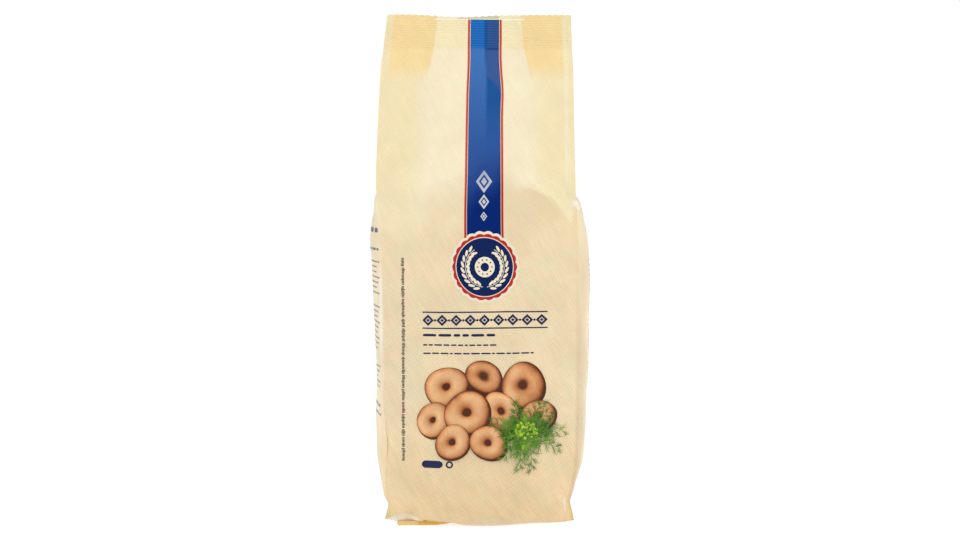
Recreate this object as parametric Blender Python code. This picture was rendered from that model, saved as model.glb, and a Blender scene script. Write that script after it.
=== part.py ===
"""A side-gusset film bag of ring biscuits, full to two thirds, that stands on its own base.

Metres, +Z up, the printed front faces -Y. The origin is the middle of the base.
The film tube has four panels: a wide front and back, and two gussets that open round
the biscuits and fold inwards to a V under the crimped top seal. The bottom seal lies
under the base, and its two ends stand out at the sides as small ears.
"""

import math

import bmesh
import bpy
import numpy as np

# The bag, flat and standing
PANEL_WIDTH = 0.110
GUSSET_WIDTH = 0.060
HEIGHT = 0.285
SEAL_HEIGHT = 0.019
SEAL_BOTTOM = HEIGHT - SEAL_HEIGHT

# The crimped top seal and its zigzag cut
SEAL_THICKNESS = 0.0008
SEAL_TOP_HALF_WIDTH = 0.0512
CRIMP_PITCH = 0.00135
CRIMP_DEPTH = 0.0003
SEAL_OVERLAP = 0.004
SEAL_COLUMNS = 14
TEETH_PER_COLUMN = 2
TOOTH_DEPTH = 0.0010
SEAL_DIP = 0.0014
SEAL_DIP_X = -0.010
SEAL_DIP_WIDTH = 0.016

# The bottom seal, folded forwards under the base
FLAP_DEPTH = 0.015
FLAP_BACK = -0.001
FLAP_THICKNESS = 0.0008
FLAP_HALF_WIDTH = 0.0515

# The long seam down the back, a fin folded flat
SEAM_WIDTH = 0.011
SEAM_OFFSET = 0.009
SEAM_RELIEF = 0.0007
SEAM_EDGE = 0.0008

# Stations up the bag: (height, size). First how far out each crease stands from the middle
LEFT_CREASE_X = ((0, 0.0538), (0.004, 0.0527), (0.0085, 0.0518), (0.014, 0.0530), (0.030, 0.0537),
                 (0.060, 0.0541), (0.150, 0.0541), (0.165, 0.0549), (0.176, 0.0564), (0.186, 0.0579),
                 (0.196, 0.0580), (0.214, 0.0573), (0.237, 0.0562), (0.256, 0.0550),
                 (SEAL_BOTTOM, 0.0536))
RIGHT_CREASE_X = ((0, 0.0532), (0.004, 0.0525), (0.0105, 0.0511), (0.020, 0.0524), (0.032, 0.0533),
                  (0.060, 0.0536), (0.110, 0.0538), (0.150, 0.0538), (0.174, 0.0534), (0.185, 0.0526),
                  (0.201, 0.0522), (0.257, 0.0524), (SEAL_BOTTOM, 0.0519))
CREASE_Y = ((0, 0.0006), (0.008, 0.0009), (0.020, 0.0120), (0.031, 0.0205), (0.045, 0.0258),
            (0.070, 0.0283), (0.110, 0.0284), (0.150, 0.0266), (0.184, 0.0216), (0.210, 0.0155),
            (0.237, 0.0084), (0.257, 0.0027), (SEAL_BOTTOM, 0.0008))
FRONT_Y = ((0, 0.0190), (0.0015, 0.0228), (0.005, 0.0268), (0.011, 0.0308), (0.020, 0.0335),
           (0.040, 0.0356), (0.075, 0.0361), (0.115, 0.0350), (0.150, 0.0320), (0.184, 0.0262),
           (0.212, 0.0175), (0.239, 0.0089), (0.257, 0.0033), (SEAL_BOTTOM, 0.0008))
BACK_Y = ((0, 0.0195), (0.0015, 0.0230), (0.005, 0.0268), (0.011, 0.0304), (0.020, 0.0330),
          (0.040, 0.0348), (0.075, 0.0356), (0.115, 0.0352), (0.150, 0.0326), (0.184, 0.0266),
          (0.212, 0.0178), (0.239, 0.0090), (0.257, 0.0033), (SEAL_BOTTOM, 0.0008))
# How far the middle of a gusset stands out past its creases, and inwards where it is a V
RIGHT_GUSSET = ((0, 0), (0.010, 0.0002), (0.0145, 0.0014), (0.021, 0.0026), (0.028, 0.0042),
                (0.035, 0.0056), (0.058, 0.0070), (0.096, 0.0083), (0.112, 0.0088), (0.132, 0.0088),
                (0.157, 0.0075), (0.170, 0.0056), (0.1775, 0.0040), (0.1815, 0.0030), (0.1845, 0.0006),
                (0.187, -0.0040), (0.192, -0.0110), (0.202, -0.0190), (0.218, -0.0255),
                (0.241, -0.0286), (SEAL_BOTTOM, -0.0295))
LEFT_GUSSET = ((0, 0), (0.008, 0.0002), (0.014, 0.0014), (0.028, 0.0030), (0.041, 0.0042),
               (0.086, 0.0046), (0.120, 0.0052), (0.147, 0.0067), (0.157, 0.0070), (0.165, 0.0059),
               (0.175, 0.0032), (0.183, 0.0008), (0.189, -0.0030), (0.198, -0.0120),
               (0.211, -0.0210), (0.226, -0.0268), (0.246, -0.0289), (SEAL_BOTTOM, -0.0295))
# How pinched a panel is towards its creases: 1 over the ears, 0 where it is evenly crowned
PINCH = ((0, 1.0), (0.010, 0.85), (0.030, 0.35), (0.050, 0.0), (SEAL_BOTTOM, 0.0))

# The biscuits that press into the film from inside
BISCUIT_PITCH = 0.030
BISCUIT_REACH = 0.023
BISCUIT_PRESS = 0.0024
BISCUIT_BLEND = 5
GUSSET_PRESS = 0.4
FILL_PEAK = 0.200
FILL_SIDE = 0.170
FILL_FADE = 0.012
BISCUIT_SEED = 7

# Creases pressed into the front and back: (start, end, relief, width above it, width below it)
# A point is (across, height), across from -1 at the left crease to 1 at the right one.
FRONT_CREASES = (
    ((0.30, 0.199), (0.97, 0.169), 0.0020, 0.004, 0.014),
    ((-0.80, 0.184), (-0.10, 0.197), 0.0012, 0.008, 0.016),
    ((-0.98, 0.024), (-0.35, 0.008), 0.0012, 0.005, 0.009),
    ((0.45, 0.010), (0.97, 0.026), 0.0010, 0.005, 0.009),
)
BACK_CREASES = (
    ((-0.95, 0.170), (-0.25, 0.199), 0.0018, 0.005, 0.014),
    ((0.20, 0.195), (0.92, 0.180), 0.0014, 0.006, 0.015),
    ((-0.96, 0.026), (-0.40, 0.009), 0.0011, 0.005, 0.009),
)

# Soft waves along the top seal: (depth, wavelength, shift), fading out below it
TOP_WAVES = ((0.0016, 0.084, 0.6), (0.0008, 0.039, -0.9))
WAVE_FROM = 0.210

# The front edge of the base is lifted at the left, over the folded flap
LIFT = 0.0023
LIFT_FROM, LIFT_TO, LIFT_EASE = -0.056, -0.014, 0.012
LIFT_TOP = 0.014

# How finely the solid is divided: steps along a panel and a gusset, and rings in each band of height
PANEL_STEPS = 22
GUSSET_STEPS = 10
RING_BANDS = ((0, 0.002, 2), (0.002, 0.014, 5), (0.014, 0.040, 5), (0.040, 0.140, 11),
              (0.140, 0.170, 4), (0.170, 0.206, 11), (0.206, SEAL_BOTTOM, 8))
BASE_INSET = 0.72

FILM_COLOUR = (0.86, 0.72, 0.47, 1.0)
FILM_ROUGHNESS = 0.42


def clear_scene():
    for thing in list(bpy.data.objects):
        bpy.data.objects.remove(thing)


def through(stations, height):
    """Value at a height on a curve that passes each station without overshooting it."""
    at, value = (np.array(column, float) for column in zip(*stations))
    step = np.diff(at)
    slope = np.diff(value) / step
    tangent = np.zeros_like(value)
    same_way = slope[:-1] * slope[1:] > 0
    safe = np.where(same_way, slope[:-1] + slope[1:], 1.0)
    tangent[1:-1] = np.where(same_way, 2 * slope[:-1] * slope[1:] / safe, 0.0)
    tangent[0], tangent[-1] = slope[0], slope[-1]
    height = np.clip(np.asarray(height, float), at[0], at[-1])
    k = np.clip(np.searchsorted(at, height, side="right") - 1, 0, len(step) - 1)
    t = (height - at[k]) / step[k]
    return (
        (1 + 2 * t) * (1 - t) ** 2 * value[k]
        + t * (1 - t) ** 2 * step[k] * tangent[k]
        + t * t * (3 - 2 * t) * value[k + 1]
        - t * t * (1 - t) * step[k] * tangent[k + 1]
    )


def ease(low, high, value):
    """0 below low, 1 above high, and a smooth step between."""
    t = np.clip((np.asarray(value, float) - low) / (high - low), 0, 1)
    return t * t * (3 - 2 * t)


def biscuit_centres():
    """Where biscuits touch the film: a jittered grid round the tube, each as (film position, height)."""
    around = 2 * (PANEL_WIDTH + GUSSET_WIDTH)
    columns = round(around / BISCUIT_PITCH)
    rows = math.ceil(FILL_PEAK / BISCUIT_PITCH) + 1
    column, row = np.meshgrid(np.arange(columns), np.arange(rows))
    jitter = np.random.default_rng(BISCUIT_SEED).uniform(-0.34, 0.34, (2, rows, columns))
    position = (column + 0.5 * (row % 2) + jitter[0]) * around / columns
    height = (row + 0.2 + jitter[1]) * BISCUIT_PITCH
    return np.stack([position.ravel() % around, height.ravel()], axis=1)


def biscuit_press(position, height):
    """How far the biscuits push the film out: the highest of round bumps, blended at the valleys."""
    around = 2 * (PANEL_WIDTH + GUSSET_WIDTH)
    total = np.zeros(np.broadcast(position, height).shape)
    for centre, level in biscuit_centres():
        sideways = np.abs(position - centre)
        sideways = np.minimum(sideways, around - sideways)
        bump = np.clip(1 - (sideways**2 + (height - level) ** 2) / BISCUIT_REACH**2, 0, 1)
        total += bump**BISCUIT_BLEND
    return BISCUIT_PRESS * np.minimum(total, 1.3) ** (1 / BISCUIT_BLEND)


def fill_height(across):
    """Top of the heap of biscuits, highest near the middle of a panel."""
    hump = np.cos(np.clip(across - 0.15, -1, 1) * math.pi / 2) ** 1.5
    return FILL_SIDE + (FILL_PEAK - FILL_SIDE) * hump


def crease_relief(creases, across, height):
    """Sum of pressed creases: a cusp along each line, fading towards its ends."""
    half = PANEL_WIDTH / 2
    total = np.zeros(np.broadcast(across, height).shape)
    for start, end, size, above, below in creases:
        x0, z0, x1, z1 = start[0] * half, start[1], end[0] * half, end[1]
        length = math.hypot(x1 - x0, z1 - z0)
        along = ((across * half - x0) * (x1 - x0) + (height - z0) * (z1 - z0)) / length**2
        off = ((height - z0) * (x1 - x0) - (across * half - x0) * (z1 - z0)) / length
        fall = np.exp(-np.abs(off) / np.where(off > 0, above, below))
        fade = ease(-0.25, 0.15, along) * (1 - ease(0.85, 1.25, along))
        total += size * fall * fade
    return total


def crease_x(across, height):
    """Where a panel's point lies from side to side: the creases at -1 and 1, evenly between them."""
    left, right = through(LEFT_CREASE_X, height), through(RIGHT_CREASE_X, height)
    return (right - left) / 2 + across * (right + left) / 2


def panel_points(across, height, front):
    """Points of the front or back panel; across runs -1 to 1 from the left crease to the right."""
    middle = through(FRONT_Y if front else BACK_Y, height)
    edge = through(CREASE_Y, height)
    pinch = through(PINCH, height)
    crown = (1 - np.abs(across) ** (2.3 + 1.7 * pinch)) ** (1 + 0.6 * pinch)
    depth = edge + (middle - edge) * crown
    width = PANEL_WIDTH
    position = (0.5 + across / 2) * width
    if not front:
        position = 2 * width + GUSSET_WIDTH - position
    filled = 1 - ease(-FILL_FADE, FILL_FADE, height - fill_height(across))
    off_edge = np.clip(1 - np.abs(across) ** 6, 0, 1)
    above_base = ease(0.002, 0.022, height)
    lumps = biscuit_press(position, height) - 0.6 * BISCUIT_PRESS
    creases = crease_relief(FRONT_CREASES if front else BACK_CREASES, across, height)
    depth = depth + off_edge * above_base * (lumps * filled + creases)
    if not front:
        off_seam = np.abs(across * width / 2 - SEAM_OFFSET) - SEAM_WIDTH / 2
        depth = depth + SEAM_RELIEF * (1 - ease(0, SEAM_EDGE, off_seam)) * ease(0.001, 0.006, height)
    x = crease_x(across, height)
    return np.stack([x, -depth if front else depth, np.broadcast_to(height, x.shape)], axis=-1)


def gusset_points(around, height, right):
    """Points of a gusset; around runs 0 to 1 from its front crease to its back one."""
    middle = through(RIGHT_GUSSET if right else LEFT_GUSSET, height)
    edge = through(CREASE_Y, height)
    tent = 1 - np.abs(2 * around - 1)
    round_arch = 4 * around * (1 - around)
    folded = 1 - ease(-0.006, 0.002, middle)
    arch = round_arch + (0.12 + 0.88 * folded) * (tent - round_arch)
    position = PANEL_WIDTH + around * GUSSET_WIDTH
    if not right:
        position = 2 * (PANEL_WIDTH + GUSSET_WIDTH) - around * GUSSET_WIDTH
    filled = (1 - folded) * ease(0.010, 0.040, height)
    lumps = (biscuit_press(position, height) - 0.6 * BISCUIT_PRESS) * filled * round_arch
    x = middle * arch + GUSSET_PRESS * lumps
    side = 1 if right else -1
    x = crease_x(side, height) + side * x
    y = edge * (2 * around - 1)
    return np.stack([x, y, np.broadcast_to(height, x.shape)], axis=-1)


def top_wave(x):
    """How far the seal strays from a flat plane at x."""
    return sum(depth * np.sin(x * math.tau / length + shift) for depth, length, shift in TOP_WAVES)


def settle(points):
    """The film's small unevenness: waves along the top, and a lift over the flap at the front left."""
    points = np.array(points, float)
    x, y, z = points[..., 0], points[..., 1], points[..., 2]
    points[..., 1] = y + top_wave(x) * ease(WAVE_FROM, SEAL_BOTTOM, z)
    window = ease(LIFT_FROM, LIFT_FROM + LIFT_EASE, x) * (1 - ease(LIFT_TO - LIFT_EASE, LIFT_TO, x))
    near_front = ease(0.005, 0.010, -y)
    points[..., 2] = z + LIFT * window * near_front * (1 - ease(0, LIFT_TOP, z))
    return points


def ring(height):
    """One closed loop round the bag, seen from above it runs anticlockwise from the front left crease."""
    across = np.linspace(-1, 1, PANEL_STEPS + 1)
    around = np.linspace(0, 1, GUSSET_STEPS + 1)
    level = np.array(float(height))
    seam = np.array([SEAM_OFFSET + side * (SEAM_WIDTH / 2 + edge)
                     for side, edge in ((-1, SEAM_EDGE), (-1, 0), (1, 0), (1, SEAM_EDGE))])
    seam_across = seam / (PANEL_WIDTH / 2)
    clear = np.min(np.abs(across[:, None] - seam_across[None, :]), axis=1) > 0.035
    back_across = np.sort(np.concatenate([across[clear], seam_across]))
    parts = (
        panel_points(across, level, front=True)[:-1],
        gusset_points(around, level, right=True)[:-1],
        panel_points(back_across, level, front=False)[::-1][:-1],
        gusset_points(around, level, right=False)[::-1][:-1],
    )
    return np.concatenate(parts)


def ring_heights():
    """Heights of the loops, each band divided evenly."""
    bands = [np.linspace(low, high, steps, endpoint=False) for low, high, steps in RING_BANDS]
    return np.append(np.concatenate(bands), SEAL_BOTTOM)


def bag_body():
    """The tube of film from the base to the seal, closed and solid, its underside flat."""
    mesh = bmesh.new()
    loops = []
    base = ring(0)
    inner = base * np.array([BASE_INSET, BASE_INSET, 1])
    for points in [inner] + [settle(ring(height)) for height in ring_heights()]:
        loops.append([mesh.verts.new(point) for point in points])
    count = len(loops[0])
    for lower, upper in zip(loops, loops[1:]):
        for i in range(count):
            j = (i + 1) % count
            mesh.faces.new((lower[i], lower[j], upper[j], upper[i]))
    mesh.faces.new(loops[0][::-1])
    mesh.faces.new(loops[-1])
    return finished_object("biscuit_bag", mesh)


def seal_x(across, height):
    """Where a seal's point lies from side to side, narrowing from the film's width to the cut edge."""
    below = crease_x(across, SEAL_BOTTOM)
    share = np.clip((height - SEAL_BOTTOM) / SEAL_HEIGHT, 0, 1)
    return below + (across * SEAL_TOP_HALF_WIDTH - below) * share


def top_seal():
    """The crimped seal: a corrugated strip, its upper edge cut in a zigzag."""
    mesh = bmesh.new()
    across = np.linspace(-1, 1, SEAL_COLUMNS + 1)
    rows = round((SEAL_HEIGHT - TOOTH_DEPTH) / (CRIMP_PITCH / 2))
    heights = [SEAL_BOTTOM - SEAL_OVERLAP] + [SEAL_BOTTOM + i * CRIMP_PITCH / 2 for i in range(rows)]
    sides = {}
    for side in (-1, 1):
        grid = []
        for row, height in enumerate(heights):
            crimp = CRIMP_DEPTH * (-1) ** row if row > 1 else 0.0
            grid.append([seal_vertex(mesh, place, height, side * SEAL_THICKNESS / 2 + crimp)
                         for place in across])
        grid.append(tooth_row(mesh, side))
        sides[side] = grid
    front, back = sides[-1], sides[1]
    per_column = 2 * TEETH_PER_COLUMN
    for grid, flip in ((front, False), (back, True)):
        for row in range(len(heights) - 1):
            for i in range(SEAL_COLUMNS):
                corner = [grid[row][i], grid[row][i + 1], grid[row + 1][i + 1], grid[row + 1][i]]
                mesh.faces.new(corner[::-1] if flip else corner)
        for i in range(SEAL_COLUMNS):
            teeth = grid[-1][i * per_column:(i + 1) * per_column + 1]
            outline = [grid[-2][i], grid[-2][i + 1]] + teeth[::-1]
            mesh.faces.new(outline[::-1] if flip else outline)
    for row in range(len(front) - 1):
        mesh.faces.new((front[row][0], front[row + 1][0], back[row + 1][0], back[row][0]))
        mesh.faces.new((front[row][-1], back[row][-1], back[row + 1][-1], front[row + 1][-1]))
    for row, flip in ((0, True), (-1, False)):
        for i in range(len(front[row]) - 1):
            strip = [front[row][i], front[row][i + 1], back[row][i + 1], back[row][i]]
            mesh.faces.new(strip[::-1] if flip else strip)
    return finished_object("seal_shape", mesh)


def seal_vertex(mesh, across, height, offset):
    """One point of the seal, offset from its middle, on the same wave as the film below it."""
    x = seal_x(across, height)
    sag = seal_dip(x) * ease(SEAL_BOTTOM, HEIGHT, height)
    return mesh.verts.new((x, top_wave(x) + offset, height - sag))


def seal_dip(x):
    """How far the cut edge sags near the middle."""
    return SEAL_DIP * np.exp(-(((x - SEAL_DIP_X) / SEAL_DIP_WIDTH) ** 2))


def tooth_row(mesh, side):
    """The zigzag of the cut edge: points alternately at the tip and at the foot of a tooth."""
    across = np.linspace(-1, 1, SEAL_COLUMNS * 2 * TEETH_PER_COLUMN + 1)
    return [seal_vertex(mesh, place, HEIGHT - TOOTH_DEPTH * ((i + 1) % 2), side * SEAL_THICKNESS / 2)
            for i, place in enumerate(across)]


def bottom_flap():
    """The bottom seal: a flat strip under the base, as wide as the flat bag."""
    mesh = bmesh.new()
    bmesh.ops.create_cube(mesh, size=1.0)
    for corner in mesh.verts:
        corner.co.x *= 2 * FLAP_HALF_WIDTH
        corner.co.y = FLAP_BACK - FLAP_DEPTH * (0.5 - corner.co.y)
        corner.co.z = FLAP_THICKNESS * (0.5 + corner.co.z)
    return finished_object("flap_shape", mesh)


def finished_object(name, mesh):
    """Links a bmesh to the scene as one object."""
    data = bpy.data.meshes.new(name)
    mesh.to_mesh(data)
    mesh.free()
    made = bpy.data.objects.new(name, data)
    bpy.context.scene.collection.objects.link(made)
    return made


def fuse(body, pieces):
    """Joins the pieces to the body with Boolean unions, applies them and removes the pieces."""
    for piece in pieces:
        union = body.modifiers.new("union", "BOOLEAN")
        union.operation = "UNION"
        union.solver = "EXACT"
        union.object = piece
    bpy.context.view_layer.update()
    graph = bpy.context.evaluated_depsgraph_get()
    joined = bpy.data.meshes.new_from_object(body.evaluated_get(graph))
    body.modifiers.clear()
    body.data = joined
    for piece in pieces:
        bpy.data.objects.remove(piece)


def film_material():
    material = bpy.data.materials.new("printed_film")
    material.use_nodes = True
    shader = material.node_tree.nodes["Principled BSDF"]
    shader.inputs["Base Color"].default_value = FILM_COLOUR
    shader.inputs["Roughness"].default_value = FILM_ROUGHNESS
    shader.inputs["Metallic"].default_value = 0.0
    return material


def build():
    clear_scene()
    bag = bag_body()
    fuse(bag, [top_seal(), bottom_flap()])
    bag.data.materials.clear()
    bag.data.materials.append(film_material())
    bag.data.shade_smooth()
    bag.data.set_sharp_from_angle(angle=math.radians(30))


build()
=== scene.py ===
# %% [markdown]
# # A film bag of ring biscuits
#
# The object is a tall bag of printed plastic film, full of ring biscuits to two thirds of its
# height and welded flat above them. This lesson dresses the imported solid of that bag: first the
# stage and the light, then the film as one surface, then the print on it, one ink at a time.

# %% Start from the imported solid
import math

import bpy
import numpy as np
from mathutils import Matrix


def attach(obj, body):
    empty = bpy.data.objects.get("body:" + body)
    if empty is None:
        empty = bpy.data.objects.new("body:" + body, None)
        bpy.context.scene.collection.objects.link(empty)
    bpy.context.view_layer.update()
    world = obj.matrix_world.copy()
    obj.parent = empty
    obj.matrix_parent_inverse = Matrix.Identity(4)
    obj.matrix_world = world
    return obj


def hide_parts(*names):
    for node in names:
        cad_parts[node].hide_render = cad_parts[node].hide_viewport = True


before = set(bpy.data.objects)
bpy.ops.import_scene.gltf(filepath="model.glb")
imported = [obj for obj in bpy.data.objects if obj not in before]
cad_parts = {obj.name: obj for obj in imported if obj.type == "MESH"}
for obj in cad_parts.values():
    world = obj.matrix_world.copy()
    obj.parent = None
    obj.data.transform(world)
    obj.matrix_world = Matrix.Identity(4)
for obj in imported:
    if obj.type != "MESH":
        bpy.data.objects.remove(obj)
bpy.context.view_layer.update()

# %% [markdown]
# ## Stage and camera
#
# The photograph is a catalogue picture: the bag stands square to the camera on a white table, seen
# from a little above and a little to its left. A long lens from a metre away keeps the sides
# nearly parallel. The camera is aimed by its own direction, so that the picture turns with it.

# %% Camera
CAMERA_TURN, CAMERA_RISE, CAMERA_DISTANCE = math.radians(-3.0), math.radians(4.5), 1.05
CAMERA_AIM = np.array([0.0004, 0.0, 0.1418])
METRES_PER_PIXEL = 0.565e-3
PICTURE_WIDTH = 960

away = np.array([math.sin(CAMERA_TURN) * math.cos(CAMERA_RISE),
                 -math.cos(CAMERA_TURN) * math.cos(CAMERA_RISE), math.sin(CAMERA_RISE)])
camera_data = bpy.data.cameras.new("camera")
camera = bpy.data.objects.new("camera", camera_data)
bpy.context.scene.collection.objects.link(camera)
camera.location = CAMERA_AIM + away * CAMERA_DISTANCE
camera.rotation_euler = (math.pi / 2 - CAMERA_RISE, 0, CAMERA_TURN)
camera_data.sensor_width = 36
camera_data.lens = 36 * CAMERA_DISTANCE / METRES_PER_PIXEL / PICTURE_WIDTH
bpy.context.scene.camera = camera
print("lens", round(camera_data.lens, 1), "mm")

# %% [markdown]
# ## Light
#
# White film on a white table needs light from nearly everywhere, with a little more from above,
# so that the upright belly of the bag falls off against the sloping part over it. The sky gives
# the soft fill. Broad lamps overhead and at both sides draw the long pale streaks on the rounded
# sides, and one behind does the same for the back. The view transform is Standard, which keeps the
# print's colours as they are mixed.

# %% Nodes in few words


def node(tree, kind, inputs=(), **settings):
    """Adds a node; settings are its attributes, inputs its sockets' values or what feeds them."""
    made = tree.nodes.new(kind)
    for name, value in settings.items():
        setattr(made, name, value)
    for name, value in dict(inputs).items():
        if isinstance(value, bpy.types.NodeSocket):
            tree.links.new(value, made.inputs[name])
        else:
            made.inputs[name].default_value = value
    return made


def maths(tree, operation, *values):
    """One Math node on numbers or sockets; gives its output."""
    return node(tree, "ShaderNodeMath", enumerate(values), operation=operation).outputs[0]


def times(tree, first, *others):
    """The product of numbers or sockets."""
    for other in others:
        first = maths(tree, "MULTIPLY", first, other)
    return first


def spread(tree, value, low, high, to_low=0.0, to_high=1.0, smooth=False):
    """Maps low..high to to_low..to_high and stops at both ends."""
    ends = {"Value": value, "From Min": low, "From Max": high, "To Min": to_low, "To Max": to_high}
    kind = "SMOOTHSTEP" if smooth else "LINEAR"
    return node(tree, "ShaderNodeMapRange", ends, interpolation_type=kind).outputs["Result"]


def near(tree, value, centre, far, close):
    """1 where value is within close of the centre, falling to 0 at the distance far."""
    return spread(tree, maths(tree, "ABSOLUTE", maths(tree, "SUBTRACT", value, centre)), far, close)


def mixed(tree, factor, first, second, blend="MIX"):
    """Colour first at 0, second at 1."""
    made = node(tree, "ShaderNodeMix", {0: factor, 6: first, 7: second}, data_type="RGBA", blend_type=blend)
    return made.outputs[2]


def ramped(tree, factor, stops):
    """A colour ramp with a place and a colour for each stop."""
    ramp = node(tree, "ShaderNodeValToRGB", {0: factor})
    elements = ramp.color_ramp.elements
    while len(elements) < len(stops):
        elements.new(0.5)
    for element, (place, colour) in zip(elements, stops):
        element.position, element.color = place, (*colour, 1)
    return ramp.outputs[0]


def point_value(tree, name):
    """A number that the mesh keeps with each of its points."""
    return node(tree, "ShaderNodeAttribute", attribute_name=name).outputs["Fac"]


print("node helpers ready")

# %% Sky
SKY_AT_HORIZON, SKY_OVERHEAD, SKY_SEEN = 0.36, 0.94, 1.02
scene = bpy.context.scene
scene.view_settings.view_transform = "Standard"
scene.world = bpy.data.worlds.new("sky")
scene.world.use_nodes = True
sky = scene.world.node_tree
sky.nodes.clear()
upwards = node(sky, "ShaderNodeSeparateXYZ", {0: node(sky, "ShaderNodeTexCoord").outputs["Generated"]})
sky_power = spread(sky, upwards.outputs["Z"], 0, 1, SKY_AT_HORIZON, SKY_OVERHEAD)
sky_light = node(sky, "ShaderNodeBackground", {"Color": (0.98, 0.99, 1, 1), "Strength": sky_power})
sky_seen = node(sky, "ShaderNodeBackground", {"Color": (1, 1, 1, 1), "Strength": SKY_SEEN})
sky_mix = node(sky, "ShaderNodeMixShader", {0: node(sky, "ShaderNodeLightPath").outputs["Is Camera Ray"],
                                            1: sky_light.outputs[0], 2: sky_seen.outputs[0]})
node(sky, "ShaderNodeOutputWorld", {"Surface": sky_mix.outputs[0]})
print("sky ready")

# %% Lamps


def lamp(name, place, aim, size, power):
    """A white rectangular soft lamp at a place, turned towards a point."""
    data = bpy.data.lights.new(name, "AREA")
    data.shape, data.size, data.size_y = "RECTANGLE", size[0], size[1]
    data.energy = power
    made = bpy.data.objects.new(name, data)
    scene.collection.objects.link(made)
    made.location = place
    direction = np.array(aim, float) - np.array(place, float)
    flat = math.hypot(direction[0], direction[1])
    made.rotation_euler = (math.pi / 2 + math.atan2(direction[2], flat), 0,
                           math.atan2(direction[1], direction[0]) - math.pi / 2)


lamp("overhead", (0.0, -0.55, 1.35), (0, 0, 0.2), (1.6, 0.9), 5.8)
lamp("left_side", (-1.25, -0.35, 0.45), (0, 0, 0.14), (0.5, 1.1), 3.0)
lamp("right_side", (1.25, -0.25, 0.45), (0, 0, 0.14), (0.5, 1.1), 4.2)
lamp("behind", (0.25, 1.05, 1.05), (0, 0, 0.16), (1.4, 0.6), 5.0)

# %% [markdown]
# ## The table
#
# The table is a white sheet that glows faintly, as a light table does, so it stays white right up
# to the bag and fills the curved film above the base from below.

# %% Table


def plain_shader(name, **values):
    """A material, its node tree and its Principled shader, with some of the shader's values set."""
    material = bpy.data.materials.new(name)
    material.use_nodes = True
    shader = material.node_tree.nodes["Principled BSDF"]
    for socket, value in values.items():
        shader.inputs[socket.replace("_", " ")].default_value = value
    return material, material.node_tree, shader


TABLE_REACH, TABLE_LEVEL = 6.0, -0.0002
table_mesh = bpy.data.meshes.new("table")
table_corners = [(TABLE_REACH * x, TABLE_REACH * y, TABLE_LEVEL)
                 for x, y in ((-1, -1), (1, -1), (1, 1), (-1, 1))]
table_mesh.from_pydata(table_corners, [], [(0, 1, 2, 3)])
table = bpy.data.objects.new("table", table_mesh)
scene.collection.objects.link(table)
table_material, _, _ = plain_shader(
    "white_table", Base_Color=(0.40, 0.40, 0.40, 1), Roughness=0.9, Specular_IOR_Level=0.0,
    Emission_Color=(1, 1, 1, 1), Emission_Strength=0.72)
table_mesh.materials.append(table_material)
print("table ready")

# %% [markdown]
# ## The film as one surface
#
# The bag is a tube of film with four panels: a front and a back 110 mm wide, and two gussets 60 mm
# wide between them. Blender could blow the tube up with a cloth simulation, but the folds that
# matter here are made by the machine and sit at known places. So the film is a function of two
# film coordinates: u runs round the tube from the front left crease, and v runs up it. Curves
# through a few measured stations say how far each crease and panel stands out at each height.

# %% Curves through stations
PANEL, GUSSET, HEIGHT, SEAL = 0.110, 0.060, 0.285, 0.019
SEAL_BOTTOM = HEIGHT - SEAL
AROUND = 2 * (PANEL + GUSSET)


def through(stations, height):
    """A cubic curve that passes each (height, size) station and never overshoots between two."""
    at, value = (np.array(column, float) for column in zip(*stations))
    step = np.diff(at)
    slope = np.diff(value) / step
    tangent = np.zeros_like(value)
    same_way = slope[:-1] * slope[1:] > 0
    safe = np.where(same_way, slope[:-1] + slope[1:], 1.0)
    tangent[1:-1] = np.where(same_way, 2 * slope[:-1] * slope[1:] / safe, 0.0)
    tangent[0], tangent[-1] = slope[0], slope[-1]
    height = np.clip(np.asarray(height, float), at[0], at[-1])
    k = np.clip(np.searchsorted(at, height, side="right") - 1, 0, len(step) - 1)
    t = (height - at[k]) / step[k]
    return ((1 + 2 * t) * (1 - t) ** 2 * value[k] + t * (1 - t) ** 2 * step[k] * tangent[k]
            + t * t * (3 - 2 * t) * value[k + 1] - t * t * (1 - t) * step[k] * tangent[k + 1])


def ease(low, high, value):
    """0 below low, 1 above high, and 3t²-2t³ between."""
    t = np.clip((np.asarray(value, float) - low) / (high - low), 0, 1)
    return t * t * (3 - 2 * t)


print("half way up its curve, ease gives", float(ease(0, 1, 0.5)))

# %% Stations of the bag, bottom to top
SHEET = 0.0003
LEFT_CREASE_X = ((0, 0.0538), (0.004, 0.0527), (0.0085, 0.0518), (0.014, 0.0530), (0.030, 0.0537),
                 (0.060, 0.0541), (0.150, 0.0541), (0.165, 0.0549), (0.176, 0.0564), (0.186, 0.0579),
                 (0.196, 0.0580), (0.214, 0.0573), (0.237, 0.0562), (0.256, 0.0550),
                 (SEAL_BOTTOM, 0.0536), (HEIGHT, 0.0512))
RIGHT_CREASE_X = ((0, 0.0532), (0.004, 0.0525), (0.0105, 0.0511), (0.020, 0.0524), (0.032, 0.0533),
                  (0.060, 0.0536), (0.110, 0.0538), (0.150, 0.0538), (0.174, 0.0534), (0.185, 0.0526),
                  (0.201, 0.0522), (0.257, 0.0524), (SEAL_BOTTOM, 0.0519), (HEIGHT, 0.0512))
CREASE_Y = ((0, 0.0006), (0.008, 0.0009), (0.020, 0.0120), (0.031, 0.0205), (0.045, 0.0258),
            (0.070, 0.0283), (0.110, 0.0284), (0.150, 0.0266), (0.184, 0.0216), (0.210, 0.0155),
            (0.237, 0.0084), (0.257, 0.0025), (SEAL_BOTTOM, SHEET))
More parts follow.
